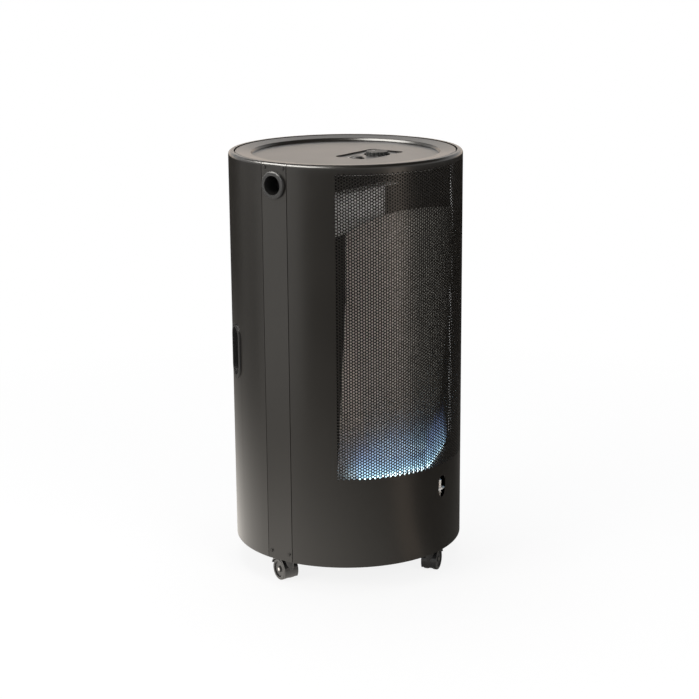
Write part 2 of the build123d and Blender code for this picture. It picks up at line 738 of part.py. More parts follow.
# ------------------------------------------------------------------ base and top frame
with BuildPart() as base_plate:
    rim = frame_rim
    low = floor_gap + base_rise
    with BuildSketch(Plane.XZ):
        with BuildLine():
            FilletPolyline(
                (0, low), (rim, low), (rim, low + base_flange), (rim - frame_sheet, low + base_flange),
                (rim - frame_sheet, low + frame_sheet), (0, low + frame_sheet),
                radius=[0, 2 * frame_sheet, 0, 0, frame_sheet, 0], close=True)
        make_face()
    revolve(axis=Axis.Z)
    fit_round_pillars(low, base_flange)
    for side in (-1, 1):
        with BuildSketch(side_plane(side, floor_gap + screw_inset_bottom)):
            with GridLocations(screw_spread, 1, 2, 1):
                Circle(screw_diameter / 2)
        extrude(amount=-(sheet + 2 * frame_sheet), mode=Mode.SUBTRACT)
    with BuildSketch(Plane.XY.offset(low)):
        with Locations((0, seat_y)):
            Circle(seat_radius)
    extrude(amount=seat_rise + frame_sheet, taper=10)
    with BuildSketch(Plane.XY.offset(low)):
        with Locations((0, seat_y)):
            Circle(seat_radius - frame_sheet)
    extrude(amount=seat_rise, taper=10, mode=Mode.SUBTRACT)
    with BuildSketch(Plane.XY.offset(low)):
        with PolarLocations(castor_ring, 4):
            Circle(socket_radius)
        with Locations((0, seat_y)):
            with PolarLocations(floor_vent_ring, floor_vents):
                SlotOverall(floor_vent_length, floor_vent_width)
    extrude(amount=2 * (seat_rise + frame_sheet), mode=Mode.SUBTRACT)
save(base_plate.part, "base_plate")

with BuildPart() as top_frame:
    low = frame_z - frame_sheet
    with BuildSketch(Plane.XZ):
        with BuildLine():
            FilletPolyline(
                (frame_bore, low), (frame_rim, low), (frame_rim, low + frame_flange),
                (frame_rim - frame_sheet, low + frame_flange), (frame_rim - frame_sheet, frame_z),
                (frame_bore, frame_z),
                radius=[0, 2 * frame_sheet, 0, 0, frame_sheet, 0], close=True)
        make_face()
    revolve(axis=Axis.Z)
    fit_round_pillars(low, top - rim_radius - low)
    for side in (-1, 1):
        with BuildSketch(side_plane(side, top - screw_inset_top)):
            with GridLocations(screw_spread, 1, 2, 1):
                Circle(screw_diameter / 2)
        extrude(amount=-(sheet + 2 * frame_sheet), mode=Mode.SUBTRACT)
save(top_frame.part, "top_frame")

with BuildPart() as castor_sockets:
    with BuildSketch(Plane.XY.offset(floor_gap - boss_gap)):
        with PolarLocations(castor_ring, 4):
            Circle(boss_diameter / 2)
            Circle(castor_stem / 2 + run_gap, mode=Mode.SUBTRACT)
    extrude(amount=base_rise + boss_gap)
    with BuildSketch(Plane.XY.offset(floor_gap + base_rise)):
        with PolarLocations(castor_ring, 4):
            Circle(socket_radius)
            Circle(castor_stem / 2 + run_gap, mode=Mode.SUBTRACT)
    extrude(amount=stem_length - base_rise)
    with BuildSketch(Plane.XY.offset(floor_gap + stem_length)):
        with PolarLocations(castor_ring, 4):
            Circle(socket_radius)
    extrude(amount=socket_wall)
save(castor_sockets.part, "castor_sockets")

with BuildPart() as bulkhead:
    with BuildSketch(Plane.XY.offset(base_z)):
        with BuildLine():
            half = bulkhead_width / 2
            FilletPolyline(
                (-half, bulkhead_y + bulkhead_flange), (-half, bulkhead_front), (half, bulkhead_front),
                (half, bulkhead_y + bulkhead_flange), (half - sheet, bulkhead_y + bulkhead_flange),
                (half - sheet, bulkhead_y), (-half + sheet, bulkhead_y),
                (-half + sheet, bulkhead_y + bulkhead_flange),
                radius=[0, 3 * sheet, 3 * sheet, 0, 0, 2 * sheet, 2 * sheet, 0], close=True)
        make_face()
    extrude(amount=frame_z - frame_sheet - base_z)
    with BuildSketch(Plane.XZ.offset(-bulkhead_y)):
        with Locations(*[(x, z) for x, z in pipe_passes]):
            Circle(pass_diameter / 2)
        with Locations(*[(x, bracket_z - valve_screw_drop) for x in valve_screw_x]):
            Circle(screw_diameter / 2)
    extrude(amount=2 * sheet, both=True, mode=Mode.SUBTRACT)
save(bulkhead.part, "bulkhead")

with BuildPart() as upper_baffle:
    with BuildSketch(Plane.XZ.offset(-bulkhead_front)):
        with Locations((baffle_x, floor_gap + baffle_level)):
            Rectangle(baffle_width, baffle_height)
    extrude(amount=sheet)
    with BuildSketch(Plane.XZ.offset(-bulkhead_front)):
        with Locations((baffle_x, floor_gap + baffle_level + baffle_height / 2 - sheet / 2)):
            Rectangle(baffle_width, sheet)
    extrude(amount=baffle_shelf)
save(upper_baffle.part, "upper_baffle")

# ------------------------------------------------------------------ radiant panel
def panel_corner_fold(side):
    """Lower corner of the radiant panel, folded back about its crease."""
    head = Vector(side * panel_half, panel_face_y, floor_gap + fold_top)
    foot = Vector(side * fold_foot, panel_face_y, floor_gap + panel_bottom)
    corner = Vector(side * panel_half, panel_face_y, floor_gap + panel_bottom)
    along = (foot - head).normalized()
    outwards = (corner - head) - along * (corner - head).dot(along)
    reach = outwards.length
    outwards = outwards.normalized() * cos(radians(fold_angle)) + Vector(0, sin(radians(fold_angle)), 0)
    plane = Plane(origin=head, x_dir=along, z_dir=along.cross(outwards))
    with BuildPart() as fold:
        with BuildSketch(plane):
            with BuildLine():
                Polyline((0, 0), ((foot - head).length, 0), ((corner - head).dot(along), reach), close=True)
            make_face()
        extrude(amount=sheet if plane.z_dir.Y > 0 else -sheet)
    return fold.part


def panel_head():
    """Bowed strip along the radiant panel's top edge, leaning back."""
    lean = radians(head_angle)
    with BuildPart() as head:
        with BuildSketch(Plane(origin=(0, panel_face_y, floor_gap + panel_top), x_dir=(1, 0, 0),
                               z_dir=(0, -cos(lean), sin(lean)))):
            with BuildLine():
                ThreePointArc((-panel_half, 0), (0, head_bow), (panel_half, 0))
                Line((panel_half, 0), (-panel_half, 0))
            make_face()
        extrude(amount=-sheet)
    return head.part


with BuildPart() as radiant_panel:
    with BuildSketch(Plane.XZ.offset(-panel_face_y)):
        with BuildLine():
            Polyline(
                (-panel_half, floor_gap + panel_top), (panel_half, floor_gap + panel_top),
                (panel_half, floor_gap + fold_top), (fold_foot, floor_gap + panel_bottom),
                (-fold_foot, floor_gap + panel_bottom), (-panel_half, floor_gap + fold_top), close=True)
        make_face()
        with Locations(*[(0, floor_gap + z) for z in panel_screw_levels]):
            Circle(screw_diameter / 2, mode=Mode.SUBTRACT)
    extrude(amount=-sheet)
    add(panel_corner_fold(-1))
    add(panel_corner_fold(1))
    add(panel_head())
save(radiant_panel.part, "radiant_panel")

with BuildPart() as panel_brackets:
    for level in panel_screw_levels:
        with BuildSketch(Plane.YZ.offset(-panel_bracket_width / 2)):
            with BuildLine():
                low = floor_gap + level - panel_bracket_face / 2
                shelf = low + panel_bracket_face
                foot = shelf + panel_bracket_foot
                front = panel_face_y + sheet
                FilletPolyline(
                    (front, low), (front, shelf), (bulkhead_front - sheet, shelf),
                    (bulkhead_front - sheet, foot), (bulkhead_front, foot), (bulkhead_front, shelf - sheet),
                    (front + sheet, shelf - sheet), (front + sheet, low),
                    radius=[0, 2 * sheet, sheet, 0, 0, 2 * sheet, sheet, 0], close=True)
            make_face()
        extrude(amount=panel_bracket_width)
        with BuildSketch(Plane.XZ.offset(-panel_face_y)):
            with Locations((0, floor_gap + level)):
                Circle(screw_diameter / 2)
        extrude(amount=-3 * sheet, mode=Mode.SUBTRACT)
save(panel_brackets.part, "panel_brackets")

save(screws([Plane(origin=(0, panel_face_y, floor_gap + z), z_dir=(0, -1, 0)) for z in panel_screw_levels],
            length=2 * sheet + 4), "panel_screws")

# ------------------------------------------------------------------ burner
def leg_plane(side):
    """Plane across one leg of the burner at its apex: its normal runs out along the leg."""
    a = radians(burner_sweep_angle)
    return Plane(origin=(0, burner_apex_y, burner_z), x_dir=(0, 0, 1), z_dir=(side * cos(a), sin(a), 0))


with BuildPart() as burner:
    for side in (-1, 1):
        with BuildSketch(leg_plane(side)):
            Circle(burner_diameter / 2)
        extrude(amount=leg_length)
    with Locations((0, burner_apex_y, burner_z)):
        Sphere(burner_diameter / 2)
    for side in (-1, 1):
        with BuildSketch(leg_plane(side)):
            Circle(burner_diameter / 2 - burner_wall)
        extrude(amount=leg_length - burner_wall, mode=Mode.SUBTRACT)
        for n in range(int((leg_length - port_start) / port_pitch)):
            away = leg_plane(side).z_dir * (port_start + n * port_pitch)
            with Locations(Vector(0, burner_apex_y, burner_z + burner_diameter / 2) + away):
                Cylinder(port_diameter / 2, 4 * burner_wall, mode=Mode.SUBTRACT)
    with BuildSketch(Plane.XZ.offset(-burner_apex_y)):
        with Locations((0, burner_z)):
            Circle(mixer_diameter / 2)
    extrude(amount=-burner_diameter, mode=Mode.SUBTRACT)
save(burner.part, "burner")

with BuildPart() as mixer_tube:
    start_y = burner_apex_y + burner_diameter / 2 - mixer_sink
    with BuildSketch(Plane.XY.offset(burner_z)):
        with BuildLine():
            inner = mixer_diameter / 2 - sheet
            mouth = mixer_mouth / 2 - sheet
            Polyline(
                (inner, start_y), (inner, start_y + mixer_straight), (mouth, start_y + mixer_length),
                (mouth + sheet, start_y + mixer_length), (inner + sheet, start_y + mixer_straight),
                (inner + sheet, start_y), close=True)
        make_face()
    revolve(axis=Axis((0, 0, burner_z), (0, 1, 0)))
save(mixer_tube.part, "mixer_tube")

with BuildPart() as gas_injector:
    with BuildSketch(Plane.XZ.offset(-bulkhead_front)):
        with Locations((0, burner_z)):
            RegularPolygon(injector_hex / 2, 6, major_radius=False)
    extrude(amount=injector_length)
    with BuildSketch(Plane.XZ.offset(-bulkhead_front)):
        with Locations((0, burner_z)):
            Circle(injector_flange / 2)
    extrude(amount=sheet)
    with BuildSketch(Plane.YZ):
        with Locations((injector_y, burner_z)):
            Circle(pipe_diameter / 2 + 1)
    extrude(amount=-injector_boss)
    with BuildSketch(Plane.XZ.offset(-bulkhead_front + injector_length / 2)):
        with Locations((0, burner_z)):
            Circle(injector_bore / 2)
    extrude(amount=injector_length / 2, mode=Mode.SUBTRACT)
save(gas_injector.part, "gas_injector")

with BuildPart() as burner_brackets:
    shelf_z = burner_z - burner_diameter / 2
    reach = burner_apex_y + burner_bracket_x * tan(radians(burner_sweep_angle)) - burner_bracket_lip
    with BuildSketch(Plane.XY.offset(shelf_z)):
        for side in (-1, 1):
            with Locations((side * burner_bracket_x, (reach + bulkhead_front) / 2)):
                Rectangle(burner_bracket_width, bulkhead_front - reach)
    extrude(amount=-frame_sheet)
    with BuildSketch(Plane.XY.offset(shelf_z)):
        for side in (-1, 1):
            with Locations((side * burner_bracket_x, bulkhead_front - frame_sheet / 2)):
                Rectangle(burner_bracket_width, frame_sheet)
    extrude(amount=-burner_bracket_drop)
save(burner_brackets.part, "burner_brackets")

# ------------------------------------------------------------------ pilot
with BuildPart() as pilot_bracket:
    with BuildSketch(Plane.XY.offset(pilot_z)):
        with Locations(((pilot_x + spark_x) / 2, (pilot_y + burner_apex_y) / 2)):
            Rectangle(spark_x - pilot_x + 2 * pilot_margin, burner_apex_y - pilot_y + 2 * pilot_margin)
        with Locations((pilot_x, pilot_y)):
            Circle(pilot_diameter / 2, mode=Mode.SUBTRACT)
        with Locations((thermocouple_x, pilot_y)):
            Circle(thermocouple_diameter / 2, mode=Mode.SUBTRACT)
        with Locations((spark_x, pilot_y)):
            Circle(insulator_diameter / 2, mode=Mode.SUBTRACT)
    extrude(amount=frame_sheet)
    with BuildSketch(Plane.XY.offset(pilot_z)):
        with Locations((0, burner_apex_y)):
            Rectangle(pilot_post_width, pilot_post_depth)
    extrude(amount=burner_z - pilot_z)
    for side in (-1, 1):
        with BuildSketch(leg_plane(side)):
            Circle(burner_diameter / 2)
        extrude(amount=burner_diameter, mode=Mode.SUBTRACT)
    with Locations((0, burner_apex_y, burner_z)):
        Sphere(burner_diameter / 2, mode=Mode.SUBTRACT)
save(pilot_bracket.part, "pilot_bracket")

with BuildPart() as pilot_burner:
    hood_z = pilot_z - pilot_foot + pilot_height
    with BuildSketch(Plane.XY.offset(pilot_z - pilot_foot)):
        with Locations((pilot_x, pilot_y)):
            Circle(pilot_diameter / 2)
    extrude(amount=pilot_height)
    with BuildSketch(Plane.XY.offset(hood_z)):
        with Locations((pilot_x, pilot_y)):
            Circle(pilot_diameter / 2 - pilot_wall)
    extrude(amount=-pilot_bore_depth, mode=Mode.SUBTRACT)
    with BuildSketch(Plane.XZ.offset(-pilot_y)):
        with Locations((pilot_x, hood_z)):
            Rectangle(pilot_diameter - 3 * pilot_wall, 2 * pilot_slot)
    extrude(amount=-pilot_diameter, mode=Mode.SUBTRACT)
save(pilot_burner.part, "pilot_burner")

with BuildPart() as thermocouple:
    with BuildSketch(Plane.XY.offset(pilot_z - rod_drop)):
        with Locations((thermocouple_x, pilot_y)):
            Circle(thermocouple_diameter / 2)
    extrude(amount=thermocouple_height)
    fillet(thermocouple.faces().sort_by(Axis.Z)[-1].edges(), thermocouple_diameter / 2 - 0.5)
save(thermocouple.part, "thermocouple")

with BuildPart() as spark_insulator:
    with BuildSketch(Plane.XY.offset(pilot_z - rod_drop)):
        with Locations((spark_x, pilot_y)):
            Circle(insulator_diameter / 2)
            Circle(spark_wire / 2, mode=Mode.SUBTRACT)
    extrude(amount=insulator_height)
save(spark_insulator.part, "spark_insulator")

spark_top = pilot_z - rod_drop + insulator_height + 5 * spark_clear
save(tube([(spark_x, pilot_y, pilot_z - rod_drop), (spark_x, pilot_y, spark_top),
           (thermocouple_x - 3, pilot_y - 4, spark_top + 3)], spark_wire, (3,)), "spark_electrode")

# ------------------------------------------------------------------ pipes and leads
pipe_route = [
    (port_x, controls_y, pipe_z), (-10, controls_y, pipe_z), (-32, -76, pipe_z), (pipe_x, pipe_y, pipe_z),
    (pipe_x, pipe_y, pipe_low),
    (pipe_x, injector_y, pipe_low), (-injector_boss, injector_y, pipe_low),
]
save(tube(pipe_route, pipe_diameter, (12, 20, 20, 8, 8)), "gas_pipe")

pilot_pipe_y = bulkhead_y + lead_offset
pilot_pipe_route = [
    (knob_x - tap_offset, controls_y, valve_base), (knob_x - tap_offset, controls_y, valve_base - pilot_run + 10),
    (-50, -62, valve_base - pilot_run + 6), (pilot_pipe_x, pilot_pipe_y, valve_base - pilot_run),
    (pilot_pipe_x, pilot_pipe_y, pilot_pipe_low), (pilot_pipe_x, bulkhead_front - 16, pilot_pipe_low),
    (-40, -186, pilot_pipe_low), (pilot_x, pilot_y, pilot_pipe_low),
    (pilot_x, pilot_y, pilot_z - pilot_foot),
]
save(tube(pilot_pipe_route, pilot_pipe_diameter, (8, 60, 20, 6, 8, 40, 6)), "pilot_pipe")

lead_route = [
    (knob_x + tap_offset, controls_y, valve_base), (knob_x + tap_offset, controls_y, valve_base - lead_run + 10),
    (-50, -70, valve_base - lead_run + 4), (lead_x, pilot_pipe_y, valve_base - lead_run),
    (lead_x, pilot_pipe_y, lead_low), (lead_x, bulkhead_front - 18, lead_low),
    (-46, -190, lead_low), (thermocouple_x, pilot_y, lead_low),
    (thermocouple_x, pilot_y, pilot_z - rod_drop),
]
save(tube(lead_route, lead_diameter, (10, 60, 20, 6, 10, 40, 6)), "thermocouple_lead")

terminal_z = igniter_top - igniter_length - terminal_length
spark_route = [
    (button_x, controls_y, terminal_z), (button_x, controls_y, terminal_z - spark_run + 14),
    (-90, -72, terminal_z - spark_run + 6), (spark_lead_x, pilot_pipe_y, terminal_z - spark_run),
    (spark_lead_x, pilot_pipe_y, spark_lead_low), (spark_lead_x, bulkhead_front - 20, spark_lead_low),
    (-52, -194, spark_lead_low), (spark_x, pilot_y, spark_lead_low), (spark_x, pilot_y, pilot_z - rod_drop),
]
save(tube(spark_route, spark_lead_diameter, (16, 40, 20, 6, 12, 40, 10)), "ignition_lead")

with BuildPart() as pipe_clips:
    runs = ((pipe_x, pipe_y, pipe_diameter), (pilot_pipe_x, pilot_pipe_y, pilot_pipe_diameter),
            (lead_x, pilot_pipe_y, lead_diameter), (spark_lead_x, pilot_pipe_y, spark_lead_diameter))
    clip_low = pipe_x - pipe_diameter / 2 - clip_side
    clip_high = spark_lead_x + spark_lead_diameter / 2 + clip_side
    clip_depth = pipe_y + pipe_diameter / 2 + clip_wall - bulkhead_y
    for level in clip_levels:
        with BuildSketch(Plane.XY.offset(floor_gap + level)):
            with Locations(((clip_low + clip_high) / 2, bulkhead_y + clip_depth / 2)):
                Rectangle(clip_high - clip_low, clip_depth)
            for x, y, across in runs:
                with Locations((x, y)):
                    Circle(across / 2, mode=Mode.SUBTRACT)
        extrude(amount=clip_height)
save(pipe_clips.part, "pipe_clips")

with BuildPart() as heat_deflector:
    with BuildSketch(Plane.XY.offset(frame_z - frame_sheet)):
        Circle(deflector_radius)
        with Locations((0, bulkhead_front + body_radius)):
            Rectangle(2 * body_radius, 2 * body_radius, mode=Mode.SUBTRACT)
    extrude(amount=-sheet)
save(heat_deflector.part, "heat_deflector")

# ------------------------------------------------------------------ castors
def hood_opening(reach):
    """Wedge about the wheel's axis that the hood leaves open."""
    step = (hood_front_angle - hood_rear_angle + 360) / 3
    with BuildSketch() as wedge:
        with BuildLine():
            corners = [(reach * cos(radians(a)), reach * sin(radians(a)))
                       for a in [hood_front_angle - n * step for n in range(4)]]
            Polyline((0, 0), *corners, close=True)
        make_face()
    return wedge.sketch


for name, (place, trail) in castors.items():
    swivel = Vector(cos(radians(place)), sin(radians(place)), 0) * castor_ring
    ahead = Vector(cos(radians(trail)), sin(radians(trail)), 0)
    hub = swivel + ahead * castor_trail + Vector(0, 0, wheel_radius)
    across = Plane(origin=hub, x_dir=ahead, z_dir=(ahead.Y, -ahead.X, 0))
    cavity = wheel_radius + hood_gap
    half_width = wheel_gap / 2 + wheel_width + hood_side
    boss_top = floor_gap - boss_gap - fit_gap
    with BuildPart() as hood:
        with BuildSketch(Plane.XY.offset(wheel_radius + hood_wall)):
            with Locations((swivel.X, swivel.Y)):
                Circle(boss_diameter / 2)
        extrude(amount=boss_top - wheel_radius - hood_wall)
        with BuildSketch(across):
            Circle(cavity + hood_wall)
            add(hood_opening(3 * cavity), mode=Mode.SUBTRACT)
        extrude(amount=half_width, both=True)
        with BuildSketch(across):
            Circle(cavity)
        extrude(amount=2 * half_width, both=True, mode=Mode.SUBTRACT)
        with BuildSketch(across):
            Circle(cavity + hood_wall / 2)
            add(hood_opening(3 * cavity), mode=Mode.SUBTRACT)
            Circle(axle_diameter / 2 + hub_wall)
            Circle(axle_diameter / 2 + run_gap, mode=Mode.SUBTRACT)
        extrude(amount=wheel_gap / 2 - web_side_gap, both=True)
        with BuildSketch(Plane.XY.offset(boss_top)):
            with Locations((swivel.X, swivel.Y)):
                Circle(castor_stem / 2)
        extrude(amount=floor_gap + stem_length - fit_gap - boss_top)
    save(hood.part, f"{name}_castor_hood")

    with BuildPart() as wheels:
        for side in (-1, 1):
            with BuildSketch(across.offset(side * wheel_gap / 2)):
                Circle(wheel_radius)
            extrude(amount=side * wheel_width)
        fillet(wheels.edges().filter_by(GeomType.CIRCLE), wheel_round)
        for side in (-1, 1):
            with BuildSketch(across.offset(side * (wheel_gap / 2 + wheel_width - wheel_dish))):
                Circle(wheel_radius - wheel_tread)
                Circle(axle_diameter / 2 + wheel_hub, mode=Mode.SUBTRACT)
            extrude(amount=side * 2 * wheel_dish, mode=Mode.SUBTRACT)
        with BuildSketch(across):
            Circle(axle_diameter / 2)
        extrude(amount=2 * half_width, both=True, mode=Mode.SUBTRACT)
    save(wheels.part, f"{name}_castor_wheels")

    with BuildPart() as axle:
        with BuildSketch(across):
            Circle(axle_diameter / 2)
        extrude(amount=wheel_gap / 2 + wheel_width, both=True)
    save(axle.part, f"{name}_castor_axle")
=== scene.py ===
"""Looks of a portable cabinet heater: its punched front, flames, dial marks, finishes and stage."""

import json
import math

import bmesh
import bpy
import numpy as np
from mathutils import Matrix, Vector

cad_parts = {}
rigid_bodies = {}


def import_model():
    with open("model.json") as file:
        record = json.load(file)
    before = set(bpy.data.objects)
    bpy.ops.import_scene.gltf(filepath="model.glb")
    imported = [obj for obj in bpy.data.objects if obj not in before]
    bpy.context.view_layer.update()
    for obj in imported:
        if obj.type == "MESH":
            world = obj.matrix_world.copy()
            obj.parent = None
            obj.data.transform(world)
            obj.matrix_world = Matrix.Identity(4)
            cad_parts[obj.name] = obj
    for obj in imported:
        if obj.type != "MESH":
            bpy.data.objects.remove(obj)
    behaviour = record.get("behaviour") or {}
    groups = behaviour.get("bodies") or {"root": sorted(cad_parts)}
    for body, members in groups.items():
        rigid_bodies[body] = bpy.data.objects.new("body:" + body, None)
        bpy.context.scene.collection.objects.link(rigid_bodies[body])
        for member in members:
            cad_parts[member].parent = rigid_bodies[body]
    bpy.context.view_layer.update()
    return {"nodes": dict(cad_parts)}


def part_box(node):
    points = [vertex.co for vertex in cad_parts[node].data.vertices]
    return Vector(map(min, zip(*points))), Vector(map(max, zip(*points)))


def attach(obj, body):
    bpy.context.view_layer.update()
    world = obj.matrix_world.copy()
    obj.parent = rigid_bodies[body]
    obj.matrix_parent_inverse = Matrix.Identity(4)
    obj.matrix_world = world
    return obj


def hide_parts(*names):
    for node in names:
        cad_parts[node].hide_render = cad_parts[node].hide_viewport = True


bl_info = {
    "name": "Cabinet Heater",
    "version": (1, 0, 0),
    "blender": (4, 5, 0),
    "location": "View3D > Sidebar > Heater",
    "description": "Punched front, burner flames, dial marks, finishes and stage of a cabinet heater",
    "category": "Object",
}

for leftover in list(bpy.data.objects):
    bpy.data.objects.remove(leftover)
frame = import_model()

# ---------------------------------------------------------------- places taken from the frame, in metres
shell_low, shell_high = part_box("front_shell")
panel_low, panel_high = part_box("radiant_panel")
knob_low, knob_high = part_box("control_knob")
button_low, button_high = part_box("ignition_button")

CASING_RADIUS = round(-shell_low.y, 4)
CASING_FOOT = round(shell_low.z, 4)
CASING_TOP = round(shell_high.z, 4)
EDGE_Y = round(shell_high.y, 4)
KNOB_X = (knob_low.x + knob_high.x) / 2
KNOB_Y = (knob_low.y + knob_high.y) / 2
BUTTON_X = (button_low.x + button_high.x) / 2
PORT_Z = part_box("burner")[1].z

WELD = 0.00002  # points nearer than this become one
PRINT_WELD = 0.000001  # the same for the thin print on the dial
NUDGE = 0.0005  # keeps a whole quotient whole when it is rounded down


# ---------------------------------------------------------------- sizes and colours that a user may change
class HeaterPunching(bpy.types.PropertyGroup):
    """The punched front sheet."""

    sheet: bpy.props.FloatProperty(
        name="Sheet", description="Thickness of the steel", default=0.0012, unit="LENGTH")
    rim: bpy.props.FloatProperty(
        name="Rim", description="Radius of the roll along the top edge", default=0.0065, unit="LENGTH")
    lip: bpy.props.FloatProperty(
        name="Lip", description="Flat edge inside the roll", default=0.004, unit="LENGTH")
    flange: bpy.props.FloatProperty(
        name="Flange", description="Turned-in edge at each side", default=0.008, unit="LENGTH")
    hole: bpy.props.FloatProperty(
        name="Hole", description="Diameter of a punched hole", default=0.0040, unit="LENGTH")
    pitch: bpy.props.FloatProperty(
        name="Pitch", description="Distance between neighbouring holes", default=0.00565, unit="LENGTH")
    columns: bpy.props.IntProperty(
        name="Columns", description="Columns of holes round the front, an odd number", default=93)
    rows: bpy.props.IntProperty(name="Rows", description="Holes in one column", default=100)
    foot: bpy.props.FloatProperty(
        name="Foot", description="Lowest holes above the sheet's bottom edge", default=0.1735, unit="LENGTH")
    strips: bpy.props.IntProperty(
        name="Strips", description="Meshes that the field is divided into", default=4)
    slot_width: bpy.props.FloatProperty(
        name="Slot width", description="Width of the lighting slot", default=0.023, unit="LENGTH")
    slot_height: bpy.props.FloatProperty(
        name="Slot height", description="Height of the lighting slot", default=0.042, unit="LENGTH")
    slot_level: bpy.props.FloatProperty(
        name="Slot level", description="Middle of the slot above the bottom edge", default=0.128,
        unit="LENGTH")


class HeaterFlames(bpy.types.PropertyGroup):
    """The burner's flames."""

    apex_y: bpy.props.FloatProperty(
        name="Apex", description="Front-to-back place of the burner's bend", default=-0.184, unit="LENGTH")
    sweep: bpy.props.FloatProperty(
        name="Sweep", description="How far each leg of the burner turns back", default=math.radians(21),
        subtype="ANGLE")
    ports: bpy.props.IntProperty(name="Ports", description="Ports along one leg", default=15)
    pitch: bpy.props.FloatProperty(
        name="Pitch", description="Distance between ports", default=0.010, unit="LENGTH")
    core: bpy.props.FloatProperty(
        name="Core", description="Height of the bright cone at a port", default=0.013, unit="LENGTH")
    body: bpy.props.FloatProperty(
        name="Body", description="Height of the blue flame", default=0.048, unit="LENGTH")
    veil: bpy.props.FloatProperty(
        name="Veil", description="Height of the violet veil", default=0.085, unit="LENGTH")
    seed: bpy.props.IntProperty(name="Seed", description="Seed of the flames' heights", default=7)


class HeaterDial(bpy.types.PropertyGroup):
    """The marks printed round the gas knob."""

    start: bpy.props.FloatProperty(
        name="Start", description="Direction of the off mark, from +X", default=math.radians(75),
        subtype="ANGLE")
    sweep: bpy.props.FloatProperty(
        name="Sweep", description="Turn from off to full", default=math.radians(210), subtype="ANGLE")
    tick_radius: bpy.props.FloatProperty(
        name="Tick radius", description="Middle of the ticks from the knob's axis", default=0.0266,
        unit="LENGTH")
    figure_radius: bpy.props.FloatProperty(
        name="Figure radius", description="Middle of the figures from the knob's axis", default=0.0309,
        unit="LENGTH")
    figure: bpy.props.FloatProperty(
        name="Figure", description="Height of a figure", default=0.0048, unit="LENGTH")
    ticks: bpy.props.IntProperty(name="Ticks", description="Number of ticks", default=13)
    ink: bpy.props.FloatProperty(
        name="Ink", description="Thickness of the print", default=0.00015, unit="LENGTH")


class HeaterColours(bpy.types.PropertyGroup):
    """Colours of the finishes."""

    paint: bpy.props.FloatVectorProperty(
        name="Paint", description="Powder coat of the cabinet", default=(0.0096, 0.0083, 0.0066),
        subtype="COLOR")
    plastic: bpy.props.FloatVectorProperty(
        name="Plastic", description="Moulded grips, knob and button", default=(0.010, 0.010, 0.010),
        subtype="COLOR")
    zinc: bpy.props.FloatVectorProperty(
        name="Zinc", description="Galvanised plates", default=(0.84, 0.83, 0.81), subtype="COLOR")
    bright: bpy.props.FloatVectorProperty(
        name="Bright steel", description="Radiant panel", default=(0.88, 0.80, 0.74), subtype="COLOR")
    flame: bpy.props.FloatVectorProperty(
        name="Flame", description="Flame at the ports", default=(0.46, 0.84, 1.0), subtype="COLOR")
    veil: bpy.props.FloatVectorProperty(
        name="Veil", description="Flame at its tips", default=(0.30, 0.38, 0.80), subtype="COLOR")


class HeaterStage(bpy.types.PropertyGroup):
    """Camera and light."""

    azimuth: bpy.props.FloatProperty(
        name="Azimuth", description="Camera's turn round the heater from its front",
        default=math.radians(-54), subtype="ANGLE")
    distance: bpy.props.FloatProperty(
        name="Distance", description="Camera from the cabinet's axis, along the floor", default=3.2185,
        unit="LENGTH")
    height: bpy.props.FloatProperty(
        name="Height", description="Camera above the floor", default=1.2459, unit="LENGTH")
    pitch: bpy.props.FloatProperty(
        name="Pitch", description="Camera's tilt below the horizon", default=0.2533, subtype="ANGLE")
    yaw: bpy.props.FloatProperty(
        name="Yaw", description="Camera's turn away from the axis", default=0.00145, subtype="ANGLE")
    roll: bpy.props.FloatProperty(
        name="Roll", description="Camera's roll", default=-0.0074, subtype="ANGLE")
    lens: bpy.props.FloatProperty(
        name="Lens", description="Focal length on a 36 mm sensor, in millimetres", default=88.63)
    ambient: bpy.props.FloatProperty(
        name="Ambient", description="Strength of the light from all round", default=0.45)


# ---------------------------------------------------------------- node trees written as expressions
class Wire:
    """A node's output that joins in sums the way a number does."""

    def __init__(self, sheet, socket):
        self.sheet = sheet
        self.socket = socket

    def calculated(self, operation, *values):
        return self.sheet.add("ShaderNodeMath", {"operation": operation}, dict(enumerate(values)))

    def __add__(self, other):
        return self.calculated("ADD", self, other)

    def __sub__(self, other):
        return self.calculated("SUBTRACT", self, other)

    def __rsub__(self, other):
        return self.calculated("SUBTRACT", other, self)

    def __mul__(self, other):
        return self.calculated("MULTIPLY", self, other)

    def __truediv__(self, other):
        return self.calculated("DIVIDE", self, other)

    def __pow__(self, other):
        return self.calculated("POWER", self, other)

    def __mod__(self, other):
        return self.calculated("FLOORED_MODULO", self, other)

    __radd__ = __add__
    __rmul__ = __mul__

    def floor(self):
        return self.calculated("FLOOR", self)

    def sine(self):
        return self.calculated("SINE", self)

    def cosine(self):
        return self.calculated("COSINE", self)

    def clamped(self, low=0.0, high=1.0):
        return self.sheet.add("ShaderNodeClamp", None, {0: self, 1: low, 2: high})


